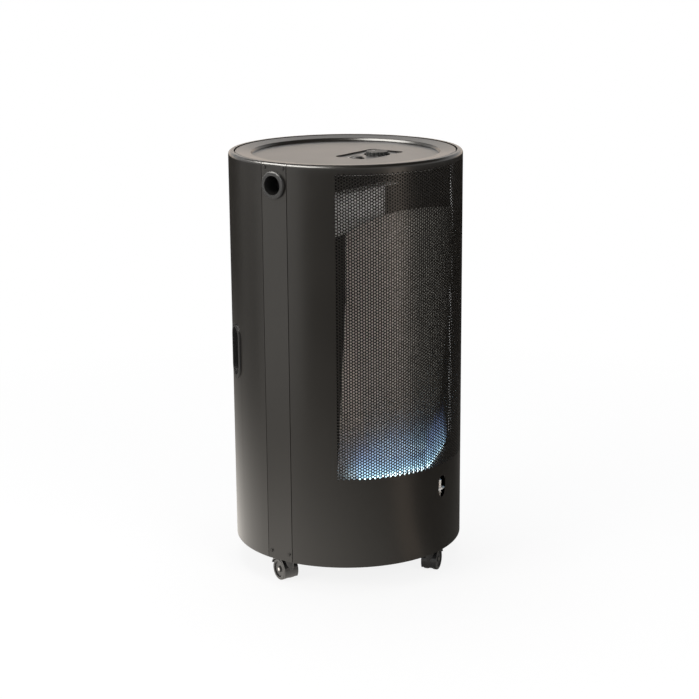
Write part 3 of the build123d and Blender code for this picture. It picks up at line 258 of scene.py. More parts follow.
class NodeSheet:
    """A node tree, with one method for any node."""

    def __init__(self, tree):
        self.tree = tree

    def add(self, kind, settings=None, values=None, output=0):
        node = self.tree.nodes.new(kind)
        for name, value in (settings or {}).items():
            if name == "stops":
                self.set_stops(node.color_ramp, value)
            else:
                setattr(node, name, value)
        for key, value in (values or {}).items():
            if isinstance(value, Wire):
                self.tree.links.new(value.socket, node.inputs[key])
            else:
                node.inputs[key].default_value = value
        return Wire(self, node.outputs[output]) if node.outputs else node

    def set_stops(self, ramp, stops):
        while len(ramp.elements) < len(stops):
            ramp.elements.new(1.0)
        for element, (place, colour) in zip(ramp.elements, stops):
            element.position = place
            element.color = (*colour, 1)

    def split(self, vector):
        node = self.add("ShaderNodeSeparateXYZ", None, {0: vector}).socket.node
        return [Wire(self, node.outputs[axis]) for axis in range(3)]

    def joined(self, x, y, z):
        return self.add("ShaderNodeCombineXYZ", None, {0: x, 1: y, 2: z})

    def rays(self, *kinds):
        """A mask for each kind of ray, such as Camera, which is 1 where such a ray arrives."""
        node = self.add("ShaderNodeLightPath").socket.node
        return [Wire(self, node.outputs[f"Is {kind} Ray"]) for kind in kinds]

    def glow(self, colour, strength):
        return self.add("ShaderNodeEmission", None, {"Color": (*colour, 1), "Strength": strength})

    def mixed(self, factor, first, second):
        """Shader between two shaders."""
        return self.add("ShaderNodeMixShader", None, {0: factor, 1: first, 2: second})


class Finish(NodeSheet):
    """A material, written from the object's own coordinates."""

    def __init__(self, name):
        self.material = bpy.data.materials.new(name)
        self.material.use_nodes = True
        super().__init__(self.material.node_tree)
        self.tree.nodes.clear()
        self.place = self.add("ShaderNodeTexCoord", output="Object")

    def noise(self, scale, detail=2.0, stretch=(1, 1, 1)):
        """Cloudy pattern, scale in blotches per metre, drawn out along an axis by a small stretch."""
        place = self.add("ShaderNodeMapping", None, {"Vector": self.place, "Scale": stretch})
        return self.add("ShaderNodeTexNoise", None, {"Vector": place, "Scale": scale, "Detail": detail})

    def blend(self, factor, first, second):
        """Colour between two colours."""
        first = first if isinstance(first, Wire) else (*first, 1)
        second = second if isinstance(second, Wire) else (*second, 1)
        return self.add("ShaderNodeMix", {"data_type": "RGBA"}, {0: factor, 6: first, 7: second}, 2)

    def bump(self, height, strength, depth):
        return self.add("ShaderNodeBump", None, {"Strength": strength, "Distance": depth, "Height": height})

    def surface(self, values):
        return self.closed(self.add("ShaderNodeBsdfPrincipled", None, values))

    def closed(self, shader):
        """Ends the material with the shader of its surface."""
        self.add("ShaderNodeOutputMaterial", None, {"Surface": shader})
        return self.material


def tinted(colour, amount):
    return tuple(channel * amount for channel in colour)


def grained(name, scale, detail, dark, light, rough, spread, metallic=0.0, coat=0.0, bump=0.0,
            depth=0.0002, stretch=(1, 1, 1)):
    """A finish with one pattern, which takes its colour from dark to light and adds to its roughness."""
    finish = Finish(name)
    grain = finish.noise(scale, detail, stretch)
    values = {
        "Base Color": finish.blend(grain, dark, light),
        "Metallic": metallic,
        "Roughness": rough + grain * spread,
        "Coat Weight": coat}
    if bump:
        values["Normal"] = finish.bump(grain, bump, depth)
    return finish.surface(values)


# ---------------------------------------------------------------- finishes
def casing_paint(colours):
    """Satin powder coat: faint clouds and a fine orange peel."""
    finish = Finish("satin_powder_coat")
    clouds = finish.noise(9, 3)
    peel = finish.noise(620, 1)
    tone = finish.blend(clouds, tinted(colours.paint, 0.86), tinted(colours.paint, 1.14))
    return finish.surface({
        "Base Color": tone,
        "Roughness": 0.27 + peel * 0.04 + clouds * 0.04,
        "Normal": finish.bump(peel, 0.05, 0.0002)})


def moulded_plastic(colours):
    """Black plastic from a finely sparked mould."""
    finish = Finish("moulded_plastic")
    grain = finish.noise(1500, 3)
    sheen = finish.noise(30, 2)
    tone = finish.blend(grain, tinted(colours.plastic, 0.7), tinted(colours.plastic, 1.6))
    return finish.surface({
        "Base Color": tone,
        "Roughness": 0.36 + grain * 0.10 + sheen * 0.06,
        "Normal": finish.bump(grain, 0.12, 0.0002)})


def castor_plastic():
    """Glossy black nylon with faint flow lines."""
    return grained(
        "castor_nylon", scale=60, detail=3, stretch=(1, 1, 0.25), dark=(0.006, 0.006, 0.006),
        light=(0.016, 0.016, 0.017), rough=0.16, spread=0.14, bump=0.05, depth=0.0004)


def wheel_plastic():
    """Hard dark wheel, duller and dusty on its tread."""
    return grained(
        "wheel_nylon", scale=420, detail=4, dark=(0.012, 0.012, 0.012), light=(0.045, 0.043, 0.041),
        rough=0.30, spread=0.25, bump=0.10)


def turned_steel():
    """Plain bright steel with turning marks."""
    return grained(
        "turned_steel", scale=900, detail=2, stretch=(0.15, 0.15, 1), dark=(0.48, 0.47, 0.46),
        light=(0.66, 0.65, 0.63), rough=0.22, spread=0.16, metallic=1.0, bump=0.08, depth=0.0001)


def galvanised_steel(colours):
    """Zinc spangles, each a little lighter or darker and duller or brighter than the next."""
    finish = Finish("zinc_spangle")
    drift = finish.noise(70, 2)
    spangles = finish.add(
        "ShaderNodeTexVoronoi", None, {"Vector": finish.place, "Scale": 95.0, "Randomness": 1.0}, "Color")
    flake = finish.split(spangles)[0]
    shade = (flake * 0.75 + drift * 0.25).clamped()
    tone = finish.blend(shade, tinted(colours.zinc, 0.86), tinted(colours.zinc, 1.08))
    return finish.surface({
        "Base Color": tone,
        "Metallic": 0.15,
        "Roughness": 0.36 + flake * 0.18,
        "Normal": finish.bump(flake, 0.05, 0.0002)})


def plated_screw():
    """Bright zinc plate on the panel's screws."""
    return grained(
        "plated_screw", scale=420, detail=2, dark=(0.86, 0.86, 0.84), light=(0.97, 0.97, 0.96),
        rough=0.12, spread=0.10, metallic=1.0)


def stove_black():
    """Near-black on the plate behind the fire, greyer in random patches."""
    finish = Finish("stove_black")
    patch = finish.noise(14, 4)
    grain = finish.noise(700, 2)
    tone = finish.blend(patch, (0.005, 0.0048, 0.0045), (0.014, 0.013, 0.012))
    return finish.surface({
        "Base Color": tone,
        "Specular IOR Level": 0.25,
        "Roughness": 0.55 + grain * 0.15,
        "Normal": finish.bump(grain, 0.12, 0.0002)})


def radiant_steel(colours):
    """Bright panel drawn upwards by the mill, tinted straw and blue by the flames, with painted shade on its
    right side.
    """
    # Where the painted shade on the panel's right side starts, how far it spreads and how strongly it
    # darkens.
    painted_shade_from, painted_shade_over, painted_shade_share = 0.005, 0.075, 0.72
    painted_shade_tone = (0.27, 0.29, 0.26)
    waver = 0.22
    finish = Finish("radiant_steel")
    grain = finish.noise(520, 2, (1, 1, 0.02))
    drift = finish.noise(16, 3, (1, 1, 0.5))
    x, _, z = finish.split(finish.place)
    reach = panel_high.z - panel_low.z
    heat = ((z - panel_low.z) / reach + drift * waver - waver / 2).clamped()
    # Painted shade: towards the panel's right side its colour is blended to a dim grey, standing in for the
    # shade there.
    painted_shade = ((x - painted_shade_from + drift * 0.03) / painted_shade_over).clamped()
    tint = finish.add("ShaderNodeValToRGB", {"stops": [
        (0.0, (0.62, 0.58, 0.56)),
        (0.10, (0.60, 0.60, 0.66)),
        (0.20, (0.74, 0.66, 0.60)),
        (0.34, colours.bright),
        (1.0, colours.bright)]}, {0: heat})
    clean = finish.blend(grain * 0.25, tint, tinted(colours.bright, 0.82))
    return finish.surface({
        "Base Color": finish.blend(painted_shade * painted_shade_share, clean, painted_shade_tone),
        "Metallic": 0.4,
        "Roughness": 0.34 + grain * 0.10 + drift * 0.06,
        "Normal": finish.bump(grain, 0.06, 0.0002)})


def burner_steel():
    """Aluminised tube, scaled brown and blue by the fire."""
    finish = Finish("fired_steel")
    scale = finish.noise(120, 4)
    patch = finish.noise(26, 2)
    fired = finish.blend(patch, (0.20, 0.17, 0.16), (0.30, 0.30, 0.34))
    tone = finish.blend(scale, fired, (0.44, 0.42, 0.40))
    return finish.surface({
        "Base Color": tone,
        "Metallic": 1.0,
        "Roughness": 0.38 + scale * 0.22,
        "Normal": finish.bump(scale, 0.12, 0.0003)})


def yellow_brass():
    """Machined brass, a little tarnished."""
    return grained(
        "yellow_brass", scale=70, detail=4, dark=(0.46, 0.30, 0.12), light=(0.78, 0.57, 0.25),
        rough=0.24, spread=0.20, metallic=1.0, bump=0.05)


def drawn_copper():
    """Drawn copper tube with darker patches."""
    return grained(
        "drawn_copper", scale=55, detail=4, dark=(0.42, 0.17, 0.10), light=(0.82, 0.44, 0.30),
        rough=0.24, spread=0.22, metallic=1.0, bump=0.05)


def glazed_ceramic():
    """Off-white glazed insulator with fine specks."""
    return grained(
        "glazed_ceramic", scale=900, detail=2, dark=(0.62, 0.58, 0.52), light=(0.82, 0.80, 0.76),
        rough=0.18, spread=0.12, coat=0.3)


def spring_steel():
    """Oil-hardened spring wire."""
    return grained(
        "spring_wire", scale=300, detail=2, dark=(0.16, 0.15, 0.15), light=(0.34, 0.33, 0.32),
        rough=0.28, spread=0.14, metallic=1.0)


def blacked_screw():
    """Black zinc on the screws, thin and paler in spots."""
    return grained(
        "black_zinc", scale=650, detail=3, dark=(0.012, 0.012, 0.011), light=(0.055, 0.052, 0.050),
        rough=0.30, spread=0.16, metallic=0.6)


def lead_sleeve():
    """Braided glass sleeve over the high-tension lead."""
    return grained(
        "braided_sleeve", scale=1100, detail=1, dark=(0.20, 0.18, 0.16), light=(0.52, 0.50, 0.46),
        rough=0.62, spread=0.2, bump=0.4, depth=0.0003)


def dial_print():
    """Pale screen print, slightly uneven."""
    return grained(
        "dial_print", scale=800, detail=2, dark=(0.52, 0.51, 0.49), light=(0.66, 0.65, 0.63),
        rough=0.45, spread=0.1)


def flame_glow(name, height, low, high, strength, body):
    """One layer of flame, coloured from low at the ports to high at its tips and thinning upwards."""
    steady, flickering = 0.55, 0.9
    finish = Finish(name)
    level = ((finish.split(finish.place)[2] - PORT_Z) / height).clamped()
    flicker = finish.noise(75, 2, (1, 1, 0.35))
    colour = finish.blend(level ** 0.8, low, high)
    thin = (1 - level) ** 1.6
    return finish.surface({
        "Base Color": (0.0, 0.0, 0.0, 1.0),
        "Roughness": 1.0,
        "Specular IOR Level": 0.0,
        "Emission Color": colour,
        "Emission Strength": strength,
        "Alpha": (thin * (steady + flicker * flickering) * body).clamped()})


def all_finishes(colours):
    """The finish of each material slot that the packed part names."""
    return {
        "casing_paint": casing_paint(colours),
        "black_plastic": moulded_plastic(colours),
        "castor_plastic": castor_plastic(),
        "wheel": wheel_plastic(),
        "axle_steel": turned_steel(),
        "galvanised": galvanised_steel(colours),
        "radiant_steel": radiant_steel(colours),
        "burner_steel": burner_steel(),
        "brass": yellow_brass(),
        "copper": drawn_copper(),
        "ceramic": glazed_ceramic(),
        "spring_steel": spring_steel(),
        "black_screws": blacked_screw(),
        "lead_sleeve": lead_sleeve()}


# ---------------------------------------------------------------- mesh helpers
def new_object(name, data):
    obj = bpy.data.objects.new(name, data)
    bpy.context.scene.collection.objects.link(obj)
    return obj


def mesh_of(shape, name):
    """A worked shape as a mesh; the shape goes."""
    mesh = bpy.data.meshes.new(name)
    shape.to_mesh(mesh)
    shape.free()
    return mesh


def plain_mesh(obj, name):
    """The object's evaluated shape as a mesh of its own; the object goes."""
    graph = bpy.context.evaluated_depsgraph_get()
    mesh = bpy.data.meshes.new_from_object(obj.evaluated_get(graph), depsgraph=graph)
    mesh.name = name
    bpy.data.objects.remove(obj)
    return mesh


def carried(name, mesh, body, material=None):
    """A finished piece on one body, at the origin, with its finish."""
    mesh.name = name
    obj = new_object(name, mesh)
    if material is not None:
        mesh.materials.clear()
        mesh.materials.append(material)
    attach(obj, body)
    return obj


def smoothed(mesh):
    """Smooth faces that meet in a sharp edge past 40 degrees."""
    mesh.shade_smooth()
    mesh.set_sharp_from_angle(angle=math.radians(40))
    return mesh


def grown(name, sheet, values):
    """The mesh that a geometry tree makes from these named inputs."""
    holder = new_object(name, bpy.data.meshes.new(name))
    modifier = holder.modifiers.new(name, "NODES")
    modifier.node_group = sheet.tree
    for socket in sheet.tree.interface.items_tree:
        if socket.in_out == "INPUT":
            modifier[socket.identifier] = values[socket.name]
    return plain_mesh(holder, name)


def new_sheet(name, inputs):
    """An empty geometry tree with named inputs; returns its sheet and a wire for each input."""
    tree = bpy.data.node_groups.new(name, "GeometryNodeTree")
    for label, kind in inputs.items():
        tree.interface.new_socket(label, in_out="INPUT", socket_type=f"NodeSocket{kind}")
    tree.interface.new_socket("Geometry", in_out="OUTPUT", socket_type="NodeSocketGeometry")
    sheet = NodeSheet(tree)
    entry = tree.nodes.new("NodeGroupInput")
    return sheet, {label: Wire(sheet, entry.outputs[label]) for label in inputs}


def ended(sheet, geometry, finish):
    """Ends a tree: instances are made real, get their material and go out."""
    real = sheet.add("GeometryNodeRealizeInstances", None, {0: geometry})
    painted = sheet.add("GeometryNodeSetMaterial", None, {"Geometry": real, "Material": finish})
    out = sheet.tree.nodes.new("NodeGroupOutput")
    sheet.tree.links.new(painted.socket, out.inputs[0])
    return sheet


# ---------------------------------------------------------------- punched front
def punching_tree():
    """Flat sheet of hexagons that each have a round hole, in staggered columns."""
    sheet, given = new_sheet("punched_field", {
        "Columns": "Int", "Rows": "Int", "First column": "Int", "Pitch": "Float", "Hole": "Float",
        "Finish": "Material"})
    hole = sheet.add(
        "GeometryNodeCurvePrimitiveCircle", None, {"Resolution": 12, "Radius": given["Hole"] / 2})
    corner = given["Pitch"] / math.sqrt(3)
    hexagon = sheet.add("GeometryNodeCurvePrimitiveCircle", None, {"Resolution": 6, "Radius": corner})
    both = sheet.add("GeometryNodeJoinGeometry", None, {0: hexagon})
    sheet.tree.links.new(hole.socket, both.socket.node.inputs[0])
    cell = sheet.add("GeometryNodeFillCurve", {"mode": "TRIANGLES"}, {0: both})
    index = sheet.add("GeometryNodeInputIndex")
    column = (index / given["Rows"] + NUDGE).floor()
    row = index - column * given["Rows"]
    stagger = (column + given["First column"]) % 2
    place = sheet.joined(
        (column + given["First column"]) * corner * 1.5, (row + stagger * 0.5) * given["Pitch"], 0.0)
    points = sheet.add(
        "GeometryNodePoints", None, {"Count": given["Columns"] * given["Rows"], "Position": place})
    cells = sheet.add("GeometryNodeInstanceOnPoints", None, {"Points": points, "Instance": cell})
    real = sheet.add("GeometryNodeRealizeInstances", None, {0: cells})
    welded = sheet.add("GeometryNodeMergeByDistance", None, {"Geometry": real, "Distance": WELD})
    return ended(sheet, welded, given["Finish"])


class FrontSheet:
    """The front sheet laid flat: u runs round it from its middle, s up from its bottom edge."""

    arc_steps = 8
    side_strips = 18
    slot_steps = 8
    margin = 1.2  # from the last column's middle to the plain sheet's first line, in hexagon sides

    def __init__(self, sizes):
        self.sizes = sizes
        self.corner = sizes.pitch / math.sqrt(3)
        self.spacing = self.corner * 1.5
        self.rise = CASING_TOP - CASING_FOOT - sizes.rim
        self.arc = sizes.rim * math.pi / 2
        self.half = CASING_RADIUS * math.acos(-EDGE_Y / CASING_RADIUS)
        self.field_bottom = sizes.foot - sizes.pitch / 2
        self.field_top = self.field_bottom + sizes.rows * sizes.pitch
        self.first_u = -(sizes.columns - 1) / 2 * self.spacing
        self.slot_end = (sizes.slot_height - sizes.slot_width) / 2

    def rolled(self, u, s):
        """Flat places on the cabinet's outer skin, over its rolled rim and round its turned-in edge."""
        sizes = self.sizes
        turn = np.clip((s - self.rise) / sizes.rim, 0, math.pi / 2)
        flat = np.clip(s - self.rise - self.arc, 0, None)
        radius = CASING_RADIUS - sizes.rim + sizes.rim * np.cos(turn) - flat
        z = CASING_FOOT + np.minimum(s, self.rise) + sizes.rim * np.sin(turn)
        angle = np.clip(u / self.half, -1, 1) * np.arccos(-EDGE_Y / radius)
        inward = np.clip(np.abs(u) - self.half, 0, None)
        x = radius * np.sin(angle) - np.sign(u) * inward
        return np.stack([x, -radius * np.cos(angle), z], axis=1)

    def wall(self, name, flat, finish):
        """A flat mesh rolled to shape and given the steel's thickness inwards."""
        places = np.empty(len(flat.vertices) * 3)
        flat.vertices.foreach_get("co", places)
        places = places.reshape(-1, 3)
        flat.vertices.foreach_set("co", self.rolled(places[:, 0], places[:, 1]).ravel())
        flat.update()
        holder = new_object(name, flat)
        solid = holder.modifiers.new("steel", "SOLIDIFY")
        solid.thickness = self.sizes.sheet
        solid.offset = -1
        solid.use_even_offset = True
        solid.use_quality_normals = True
        mesh = smoothed(plain_mesh(holder, name))
        piece = carried(name, mesh, "root", finish)
        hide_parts("front_shell")

    def edge_points(self, level):
        """Corners of the field's zigzag edge, at the foot or the head of every column."""
        points = []
        for column in range(self.sizes.columns):
            middle = self.first_u + column * self.spacing
            height = level + (column % 2) * self.sizes.pitch / 2
            points += [(middle - self.corner / 2, height), (middle + self.corner / 2, height)]
        return points

    def slot_outline(self, u, upper):
        """Height of the lighting slot's outline at u."""
        end = math.sqrt(max((self.sizes.slot_width / 2) ** 2 - u * u, 0)) + self.slot_end
        return self.sizes.slot_level + (end if upper else -end)

    def faces_below(self):
        """The plain sheet under the field, with the lighting slot cut in it."""
        half = self.sizes.slot_width / 2
        zigzag = self.edge_points(self.field_bottom)
        known_u, known_s = zip(*zigzag)
        slot_u = [half * math.sin(math.pi / 2 * n / self.slot_steps)
                  for n in range(-self.slot_steps, self.slot_steps + 1)]
        lines = sorted(list(known_u) + slot_u)
        top = {u: float(np.interp(u, known_u, known_s)) for u in lines}
        corners = (self.sizes.slot_level - self.slot_end, self.sizes.slot_level + self.slot_end)
        faces = []
        for a, b in zip(lines, lines[1:]):
            if a >= -half and b <= half:
                low_a, low_b = self.slot_outline(a, False), self.slot_outline(b, False)
                high_a, high_b = self.slot_outline(a, True), self.slot_outline(b, True)
                faces.append([(a, 0), (b, 0), (b, low_b), (a, low_a)])
                faces.append([(a, high_a), (b, high_b), (b, top[b]), (a, top[a])])
            else:
                right = [(b, s) for s in corners] if b == -half else []
                left = [(a, s) for s in reversed(corners)] if a == half else []
                faces.append([(a, 0), (b, 0)] + right + [(b, top[b]), (a, top[a])] + left)
        return faces

    def levels_above(self):
        """Heights of the rows from the foot of the roll to the lip's edge."""
        roll = [self.rise + self.arc * n / self.arc_steps for n in range(self.arc_steps + 1)]
        return roll + [self.rise + self.arc + self.sizes.lip]

    def faces_above(self):
        """The plain sheet over the field, its roll and lip."""
        faces = []
        zigzag = self.edge_points(self.field_top)
        levels = self.levels_above()
        for a, b in zip(zigzag, zigzag[1:]):
            faces.append([a, b, (b[0], self.rise), (a[0], self.rise)])
            for low, high in zip(levels, levels[1:]):
                faces.append([(a[0], low), (b[0], low), (b[0], high), (a[0], high)])
        return faces

    def faces_beside(self):
        """The plain sheet to the right of the field and its turned-in edge."""
        border = self.spacing * (self.sizes.columns - 1) / 2
        inner = border + self.corner / 2
        straight = border + self.corner * self.margin
        edge = [(inner, 0), (inner, self.field_bottom)]
        for row in range(self.sizes.rows):
            middle = self.field_bottom + (row + 0.5) * self.sizes.pitch
            edge += [(border + self.corner, middle), (inner, middle + self.sizes.pitch / 2)]
        edge += [(inner, s) for s in self.levels_above()]
        flange = (self.half, self.half + self.sizes.flange)
        lines = [straight + (self.half - straight) * n / self.side_strips
                 for n in range(self.side_strips + 1)]
        faces = []
        for low, high in zip(edge, edge[1:]):
            faces.append([low, (straight, low[1]), (straight, high[1]), high])
            for a, b in zip(lines, lines[1:]):
                faces.append([(a, low[1]), (b, low[1]), (b, high[1]), (a, high[1])])
            if high[1] <= self.rise + WELD:
                faces.append([(u, low[1]) for u in flange] + [(u, high[1]) for u in reversed(flange)])
        return faces

    def surround(self):
        """All of the sheet but its punched field, flat."""
        beside = self.faces_beside()
        mirrored = [[(-u, s) for u, s in reversed(face)] for face in beside]
        shape = bmesh.new()
        for face in self.faces_below() + self.faces_above() + beside + mirrored:
            shape.faces.new([shape.verts.new((u, s, 0)) for u, s in face])
        bmesh.ops.remove_doubles(shape, verts=shape.verts, dist=WELD)
        return mesh_of(shape, "front_surround")

    def field(self, tree, first, count, finish):
        """One strip of the punched field, flat."""
        sizes = self.sizes
        mesh = grown("front_field", tree, {
            "Columns": count, "Rows": sizes.rows, "First column": first, "Pitch": sizes.pitch,
            "Hole": sizes.hole, "Finish": finish})
        mesh.transform(Matrix.Translation((self.first_u, sizes.foot, 0)))
        if mesh.polygons[0].normal.z < 0:
            mesh.flip_normals()
        return mesh


class HEATER_OT_front(bpy.types.Operator):
    """Rolls the punched front sheet of the cabinet"""

    bl_idname = "heater.front"
    bl_label = "Punched front"

    def execute(self, context):
        sizes = context.scene.heater_punching
        finish = bpy.data.materials["satin_powder_coat"]
        sheet = FrontSheet(sizes)
        sheet.wall("front_surround", sheet.surround(), finish)
        tree = punching_tree()
        starts = [sizes.columns * n // sizes.strips for n in range(sizes.strips + 1)]
        for number, (first, after) in enumerate(zip(starts, starts[1:]), 1):
            sheet.wall(f"front_field_{number}", sheet.field(tree, first, after - first, finish), finish)
        return {"FINISHED"}


# ---------------------------------------------------------------- flames
def flame_tree():
    """Closed tongues of flame in two rows that meet at the burner's bend."""
    foot_share, narrowing = 1.3, 1.1
    sheet, given = new_sheet("burner_flames", {
        "Ports": "Int", "Pitch": "Float", "Sweep": "Float", "Apex": "Vector", "Width": "Float",
        "Height": "Float", "Variation": "Float", "Seed": "Int", "Finish": "Material"})
    index = sheet.add("GeometryNodeInputIndex")
    side = 1 - (index % 2) * 2
    away = ((index / 2 + NUDGE).floor() + 1) * given["Pitch"]
    apex = sheet.split(given["Apex"])
    place = sheet.joined(
        apex[0] + side * given["Sweep"].cosine() * away, apex[1] + given["Sweep"].sine() * away, apex[2])
    points = sheet.add("GeometryNodePoints", None, {"Count": given["Ports"] * 2, "Position": place})
    ball = sheet.add("GeometryNodeMeshUVSphere", None, {"Segments": 12, "Rings": 10, "Radius": 1.0})
    x, y, z = sheet.split(sheet.add("GeometryNodeInputPosition"))
    level = (z + 1) / 2
    taper = foot_share - level * narrowing
    shaped = sheet.joined(x * taper, y * taper, level)
    tongue = sheet.add("GeometryNodeSetPosition", None, {"Geometry": ball, "Position": shaped})
    chance = sheet.add("FunctionNodeRandomValue", {"data_type": "FLOAT"}, {
        2: 1 - given["Variation"], 3: 1 + given["Variation"], "Seed": given["Seed"]}, 1)
    scale = sheet.joined(given["Width"] / 2, given["Width"] / 2, given["Height"] * chance)
    rows = sheet.add("GeometryNodeInstanceOnPoints", None, {
        "Points": points, "Instance": tongue, "Scale": scale})
    return ended(sheet, rows, given["Finish"])


class HEATER_OT_flames(bpy.types.Operator):
    """Lights the burner: a bright cone, a blue flame and a violet veil over every port"""

    bl_idname = "heater.flames"
    bl_label = "Flames"

    def execute(self, context):
        sizes = context.scene.heater_flames
        colours = context.scene.heater_colours
        blue = tuple((a + b) / 2 for a, b in zip(colours.flame, colours.veil))
        tree = flame_tree()
        self.layer("flame_cores", tree, sizes, height=sizes.core, width=0.0075, variation=0.15,
                   low=(0.76, 0.96, 1.0), high=colours.flame, strength=7.8, body=0.9)
        self.layer("flame_bodies", tree, sizes, height=sizes.body, width=0.012, variation=0.2,
                   low=colours.flame, high=blue, strength=2.6, body=0.35)
        self.layer("flame_veils", tree, sizes, height=sizes.veil, width=0.018, variation=0.25,
                   low=blue, high=colours.veil, strength=1.3, body=0.22)
        return {"FINISHED"}

    def layer(self, name, tree, sizes, height, width, variation, low, high, strength, body):
        """One flame over every port, with its glow."""
        glow = flame_glow(name, height * (1 + variation), low, high, strength, body)
        mesh = grown(name, tree, {
            "Ports": sizes.ports, "Pitch": sizes.pitch, "Sweep": sizes.sweep,
            "Apex": (0.0, sizes.apex_y, PORT_Z), "Width": width, "Height": height,
            "Variation": variation, "Seed": sizes.seed, "Finish": glow})
        mesh.shade_smooth()
        carried(name, mesh, "root")


# ---------------------------------------------------------------- dial
def tick_tree():
    """Short printed bars on an arc, pointing at its centre."""
    sheet, given = new_sheet("dial_ticks", {
        "Ticks": "Int", "Radius": "Float", "Start": "Float", "Sweep": "Float", "Length": "Float",
        "Width": "Float", "Ink": "Float", "Centre": "Vector", "Finish": "Material"})
    index = sheet.add("GeometryNodeInputIndex")
    turn = given["Start"] + given["Sweep"] * index / (given["Ticks"] - 1)
    x, y, z = sheet.split(given["Centre"])
    place = sheet.joined(
        x + turn.cosine() * given["Radius"], y + turn.sine() * given["Radius"], z + given["Ink"] / 2)
    points = sheet.add("GeometryNodePoints", None, {"Count": given["Ticks"], "Position": place})
    size = sheet.joined(given["Length"], given["Width"], given["Ink"])
    bar = sheet.add("GeometryNodeMeshCube", None, {"Size": size})
    turned = sheet.add("FunctionNodeEulerToRotation", None, {0: sheet.joined(0.0, 0.0, turn)})
    bars = sheet.add("GeometryNodeInstanceOnPoints", None, {
        "Points": points, "Instance": bar, "Rotation": turned})
    return ended(sheet, bars, given["Finish"])


def figure_mesh(text, height, ink, place):
    """A printed figure, its middle at a place."""
    size_over_height = 1.4
    curve = bpy.data.curves.new("figure", "FONT")
    curve.body = text
    curve.size = height * size_over_height
    curve.extrude = ink / 2
    curve.align_x = "CENTER"
    curve.align_y = "CENTER"
    curve.resolution_u = 4
    mesh = plain_mesh(new_object("figure", curve), "figure")
    mesh.transform(Matrix.Translation(place))
    return mesh


def star_mesh(arms, outer, inner, ink, place):
    """A flat printed star, the sign for a spark."""
    count = 2 * arms
    corners = []
    for level in (0, ink):
        for n in range(count):
            turn = math.pi * n / arms + math.pi / 2
            reach = inner if n % 2 else outer
            corners.append((reach * math.cos(turn), reach * math.sin(turn), level))
    ends = [tuple(reversed(range(count))), tuple(range(count, 2 * count))]
    sides = [(n, (n + 1) % count, count + (n + 1) % count, count + n) for n in range(count)]
    mesh = bpy.data.meshes.new("star")
    mesh.from_pydata(corners, [], ends + sides)
    mesh.transform(Matrix.Translation(place))
    return mesh


def joined_mesh(name, meshes):
    """Several meshes as one, with doubled points merged."""
    shape = bmesh.new()
    for mesh in meshes:
        shape.from_mesh(mesh)
        bpy.data.meshes.remove(mesh)
    bmesh.ops.remove_doubles(shape, verts=shape.verts, dist=PRINT_WELD)
    return mesh_of(shape, name)


class HEATER_OT_dial(bpy.types.Operator):
    """Prints the marks round the gas knob and beside the ignition button"""

    bl_idname = "heater.dial"
    bl_label = "Dial marks"

    tray_floor = 0.7910
    tick_length = 0.0020
    tick_width = 0.0005
    last_figure = 3
    star_arms = 8
    star_outer = 0.0034
    star_inner = 0.0013
    star_offset = 0.0185
    pointer_inset = 0.0035
    pointer_length = 0.011
    pointer_width = 0.0016
    pointer_rounding = 0.45

    def execute(self, context):
        sizes = context.scene.heater_dial
        ink = dial_print()
        centre = (KNOB_X, KNOB_Y, self.tray_floor)
        ticks = grown("dial_ticks", tick_tree(), {
            "Ticks": sizes.ticks, "Radius": sizes.tick_radius, "Start": sizes.start, "Sweep": sizes.sweep,
            "Length": self.tick_length, "Width": self.tick_width, "Ink": sizes.ink, "Centre": centre,
            "Finish": ink})
        carried("dial_ticks", ticks, "root")
        marks = [self.figure(number, sizes) for number in range(self.last_figure + 1)]
        star_place = (BUTTON_X, KNOB_Y + self.star_offset, self.tray_floor)
        marks.append(star_mesh(self.star_arms, self.star_outer, self.star_inner, sizes.ink, star_place))
        carried("dial_figures", joined_mesh("dial_figures", marks), "root", ink)
        self.pointer(sizes, ink)
        return {"FINISHED"}

    def figure(self, number, sizes):
        """A figure at its place round the knob."""
        turn = sizes.start + sizes.sweep * number / self.last_figure
        x = KNOB_X + sizes.figure_radius * math.cos(turn)
        y = KNOB_Y + sizes.figure_radius * math.sin(turn)
        return figure_mesh(str(number), sizes.figure, sizes.ink, (x, y, self.tray_floor + sizes.ink / 2))

    def pointer(self, sizes, ink):
        """The pale line on the knob that points at a figure."""
        reach = (knob_high.x - knob_low.x) / 2 - self.pointer_inset
        middle = (reach - self.pointer_length / 2, 0, sizes.ink / 2)
        rounding = self.pointer_width * self.pointer_rounding
        shape = bmesh.new()
        bmesh.ops.create_cube(shape, size=1.0)
        bmesh.ops.scale(shape, vec=(self.pointer_length, self.pointer_width, sizes.ink), verts=shape.verts)
        upright = [e for e in shape.edges if abs(e.verts[0].co.z - e.verts[1].co.z) > sizes.ink / 2]
        bmesh.ops.bevel(shape, geom=upright, offset=rounding, segments=4, affect="EDGES")
        bmesh.ops.translate(shape, vec=middle, verts=shape.verts)
        mesh = mesh_of(shape, "knob_pointer")
        turned = Matrix.Rotation(sizes.start, 4, "Z")
        mesh.transform(Matrix.Translation((KNOB_X, KNOB_Y, knob_high.z)) @ turned)
        carried("knob_pointer", mesh, "knob", ink)


# ---------------------------------------------------------------- finishes on the packed parts
class HEATER_OT_finishes(bpy.types.Operator):
    """Gives every packed part its finish"""

    bl_idname = "heater.finishes"
    bl_label = "Finishes"

    def execute(self, context):
        finishes = all_finishes(context.scene.heater_colours)
        for node in frame["nodes"].values():
            for slot in node.material_slots:
                slot.material = finishes[slot.material.name]
        for name, finish in (("bulkhead", stove_black()), ("panel_screws", plated_screw())):
            frame["nodes"][name].material_slots[0].material = finish
        return {"FINISHED"}


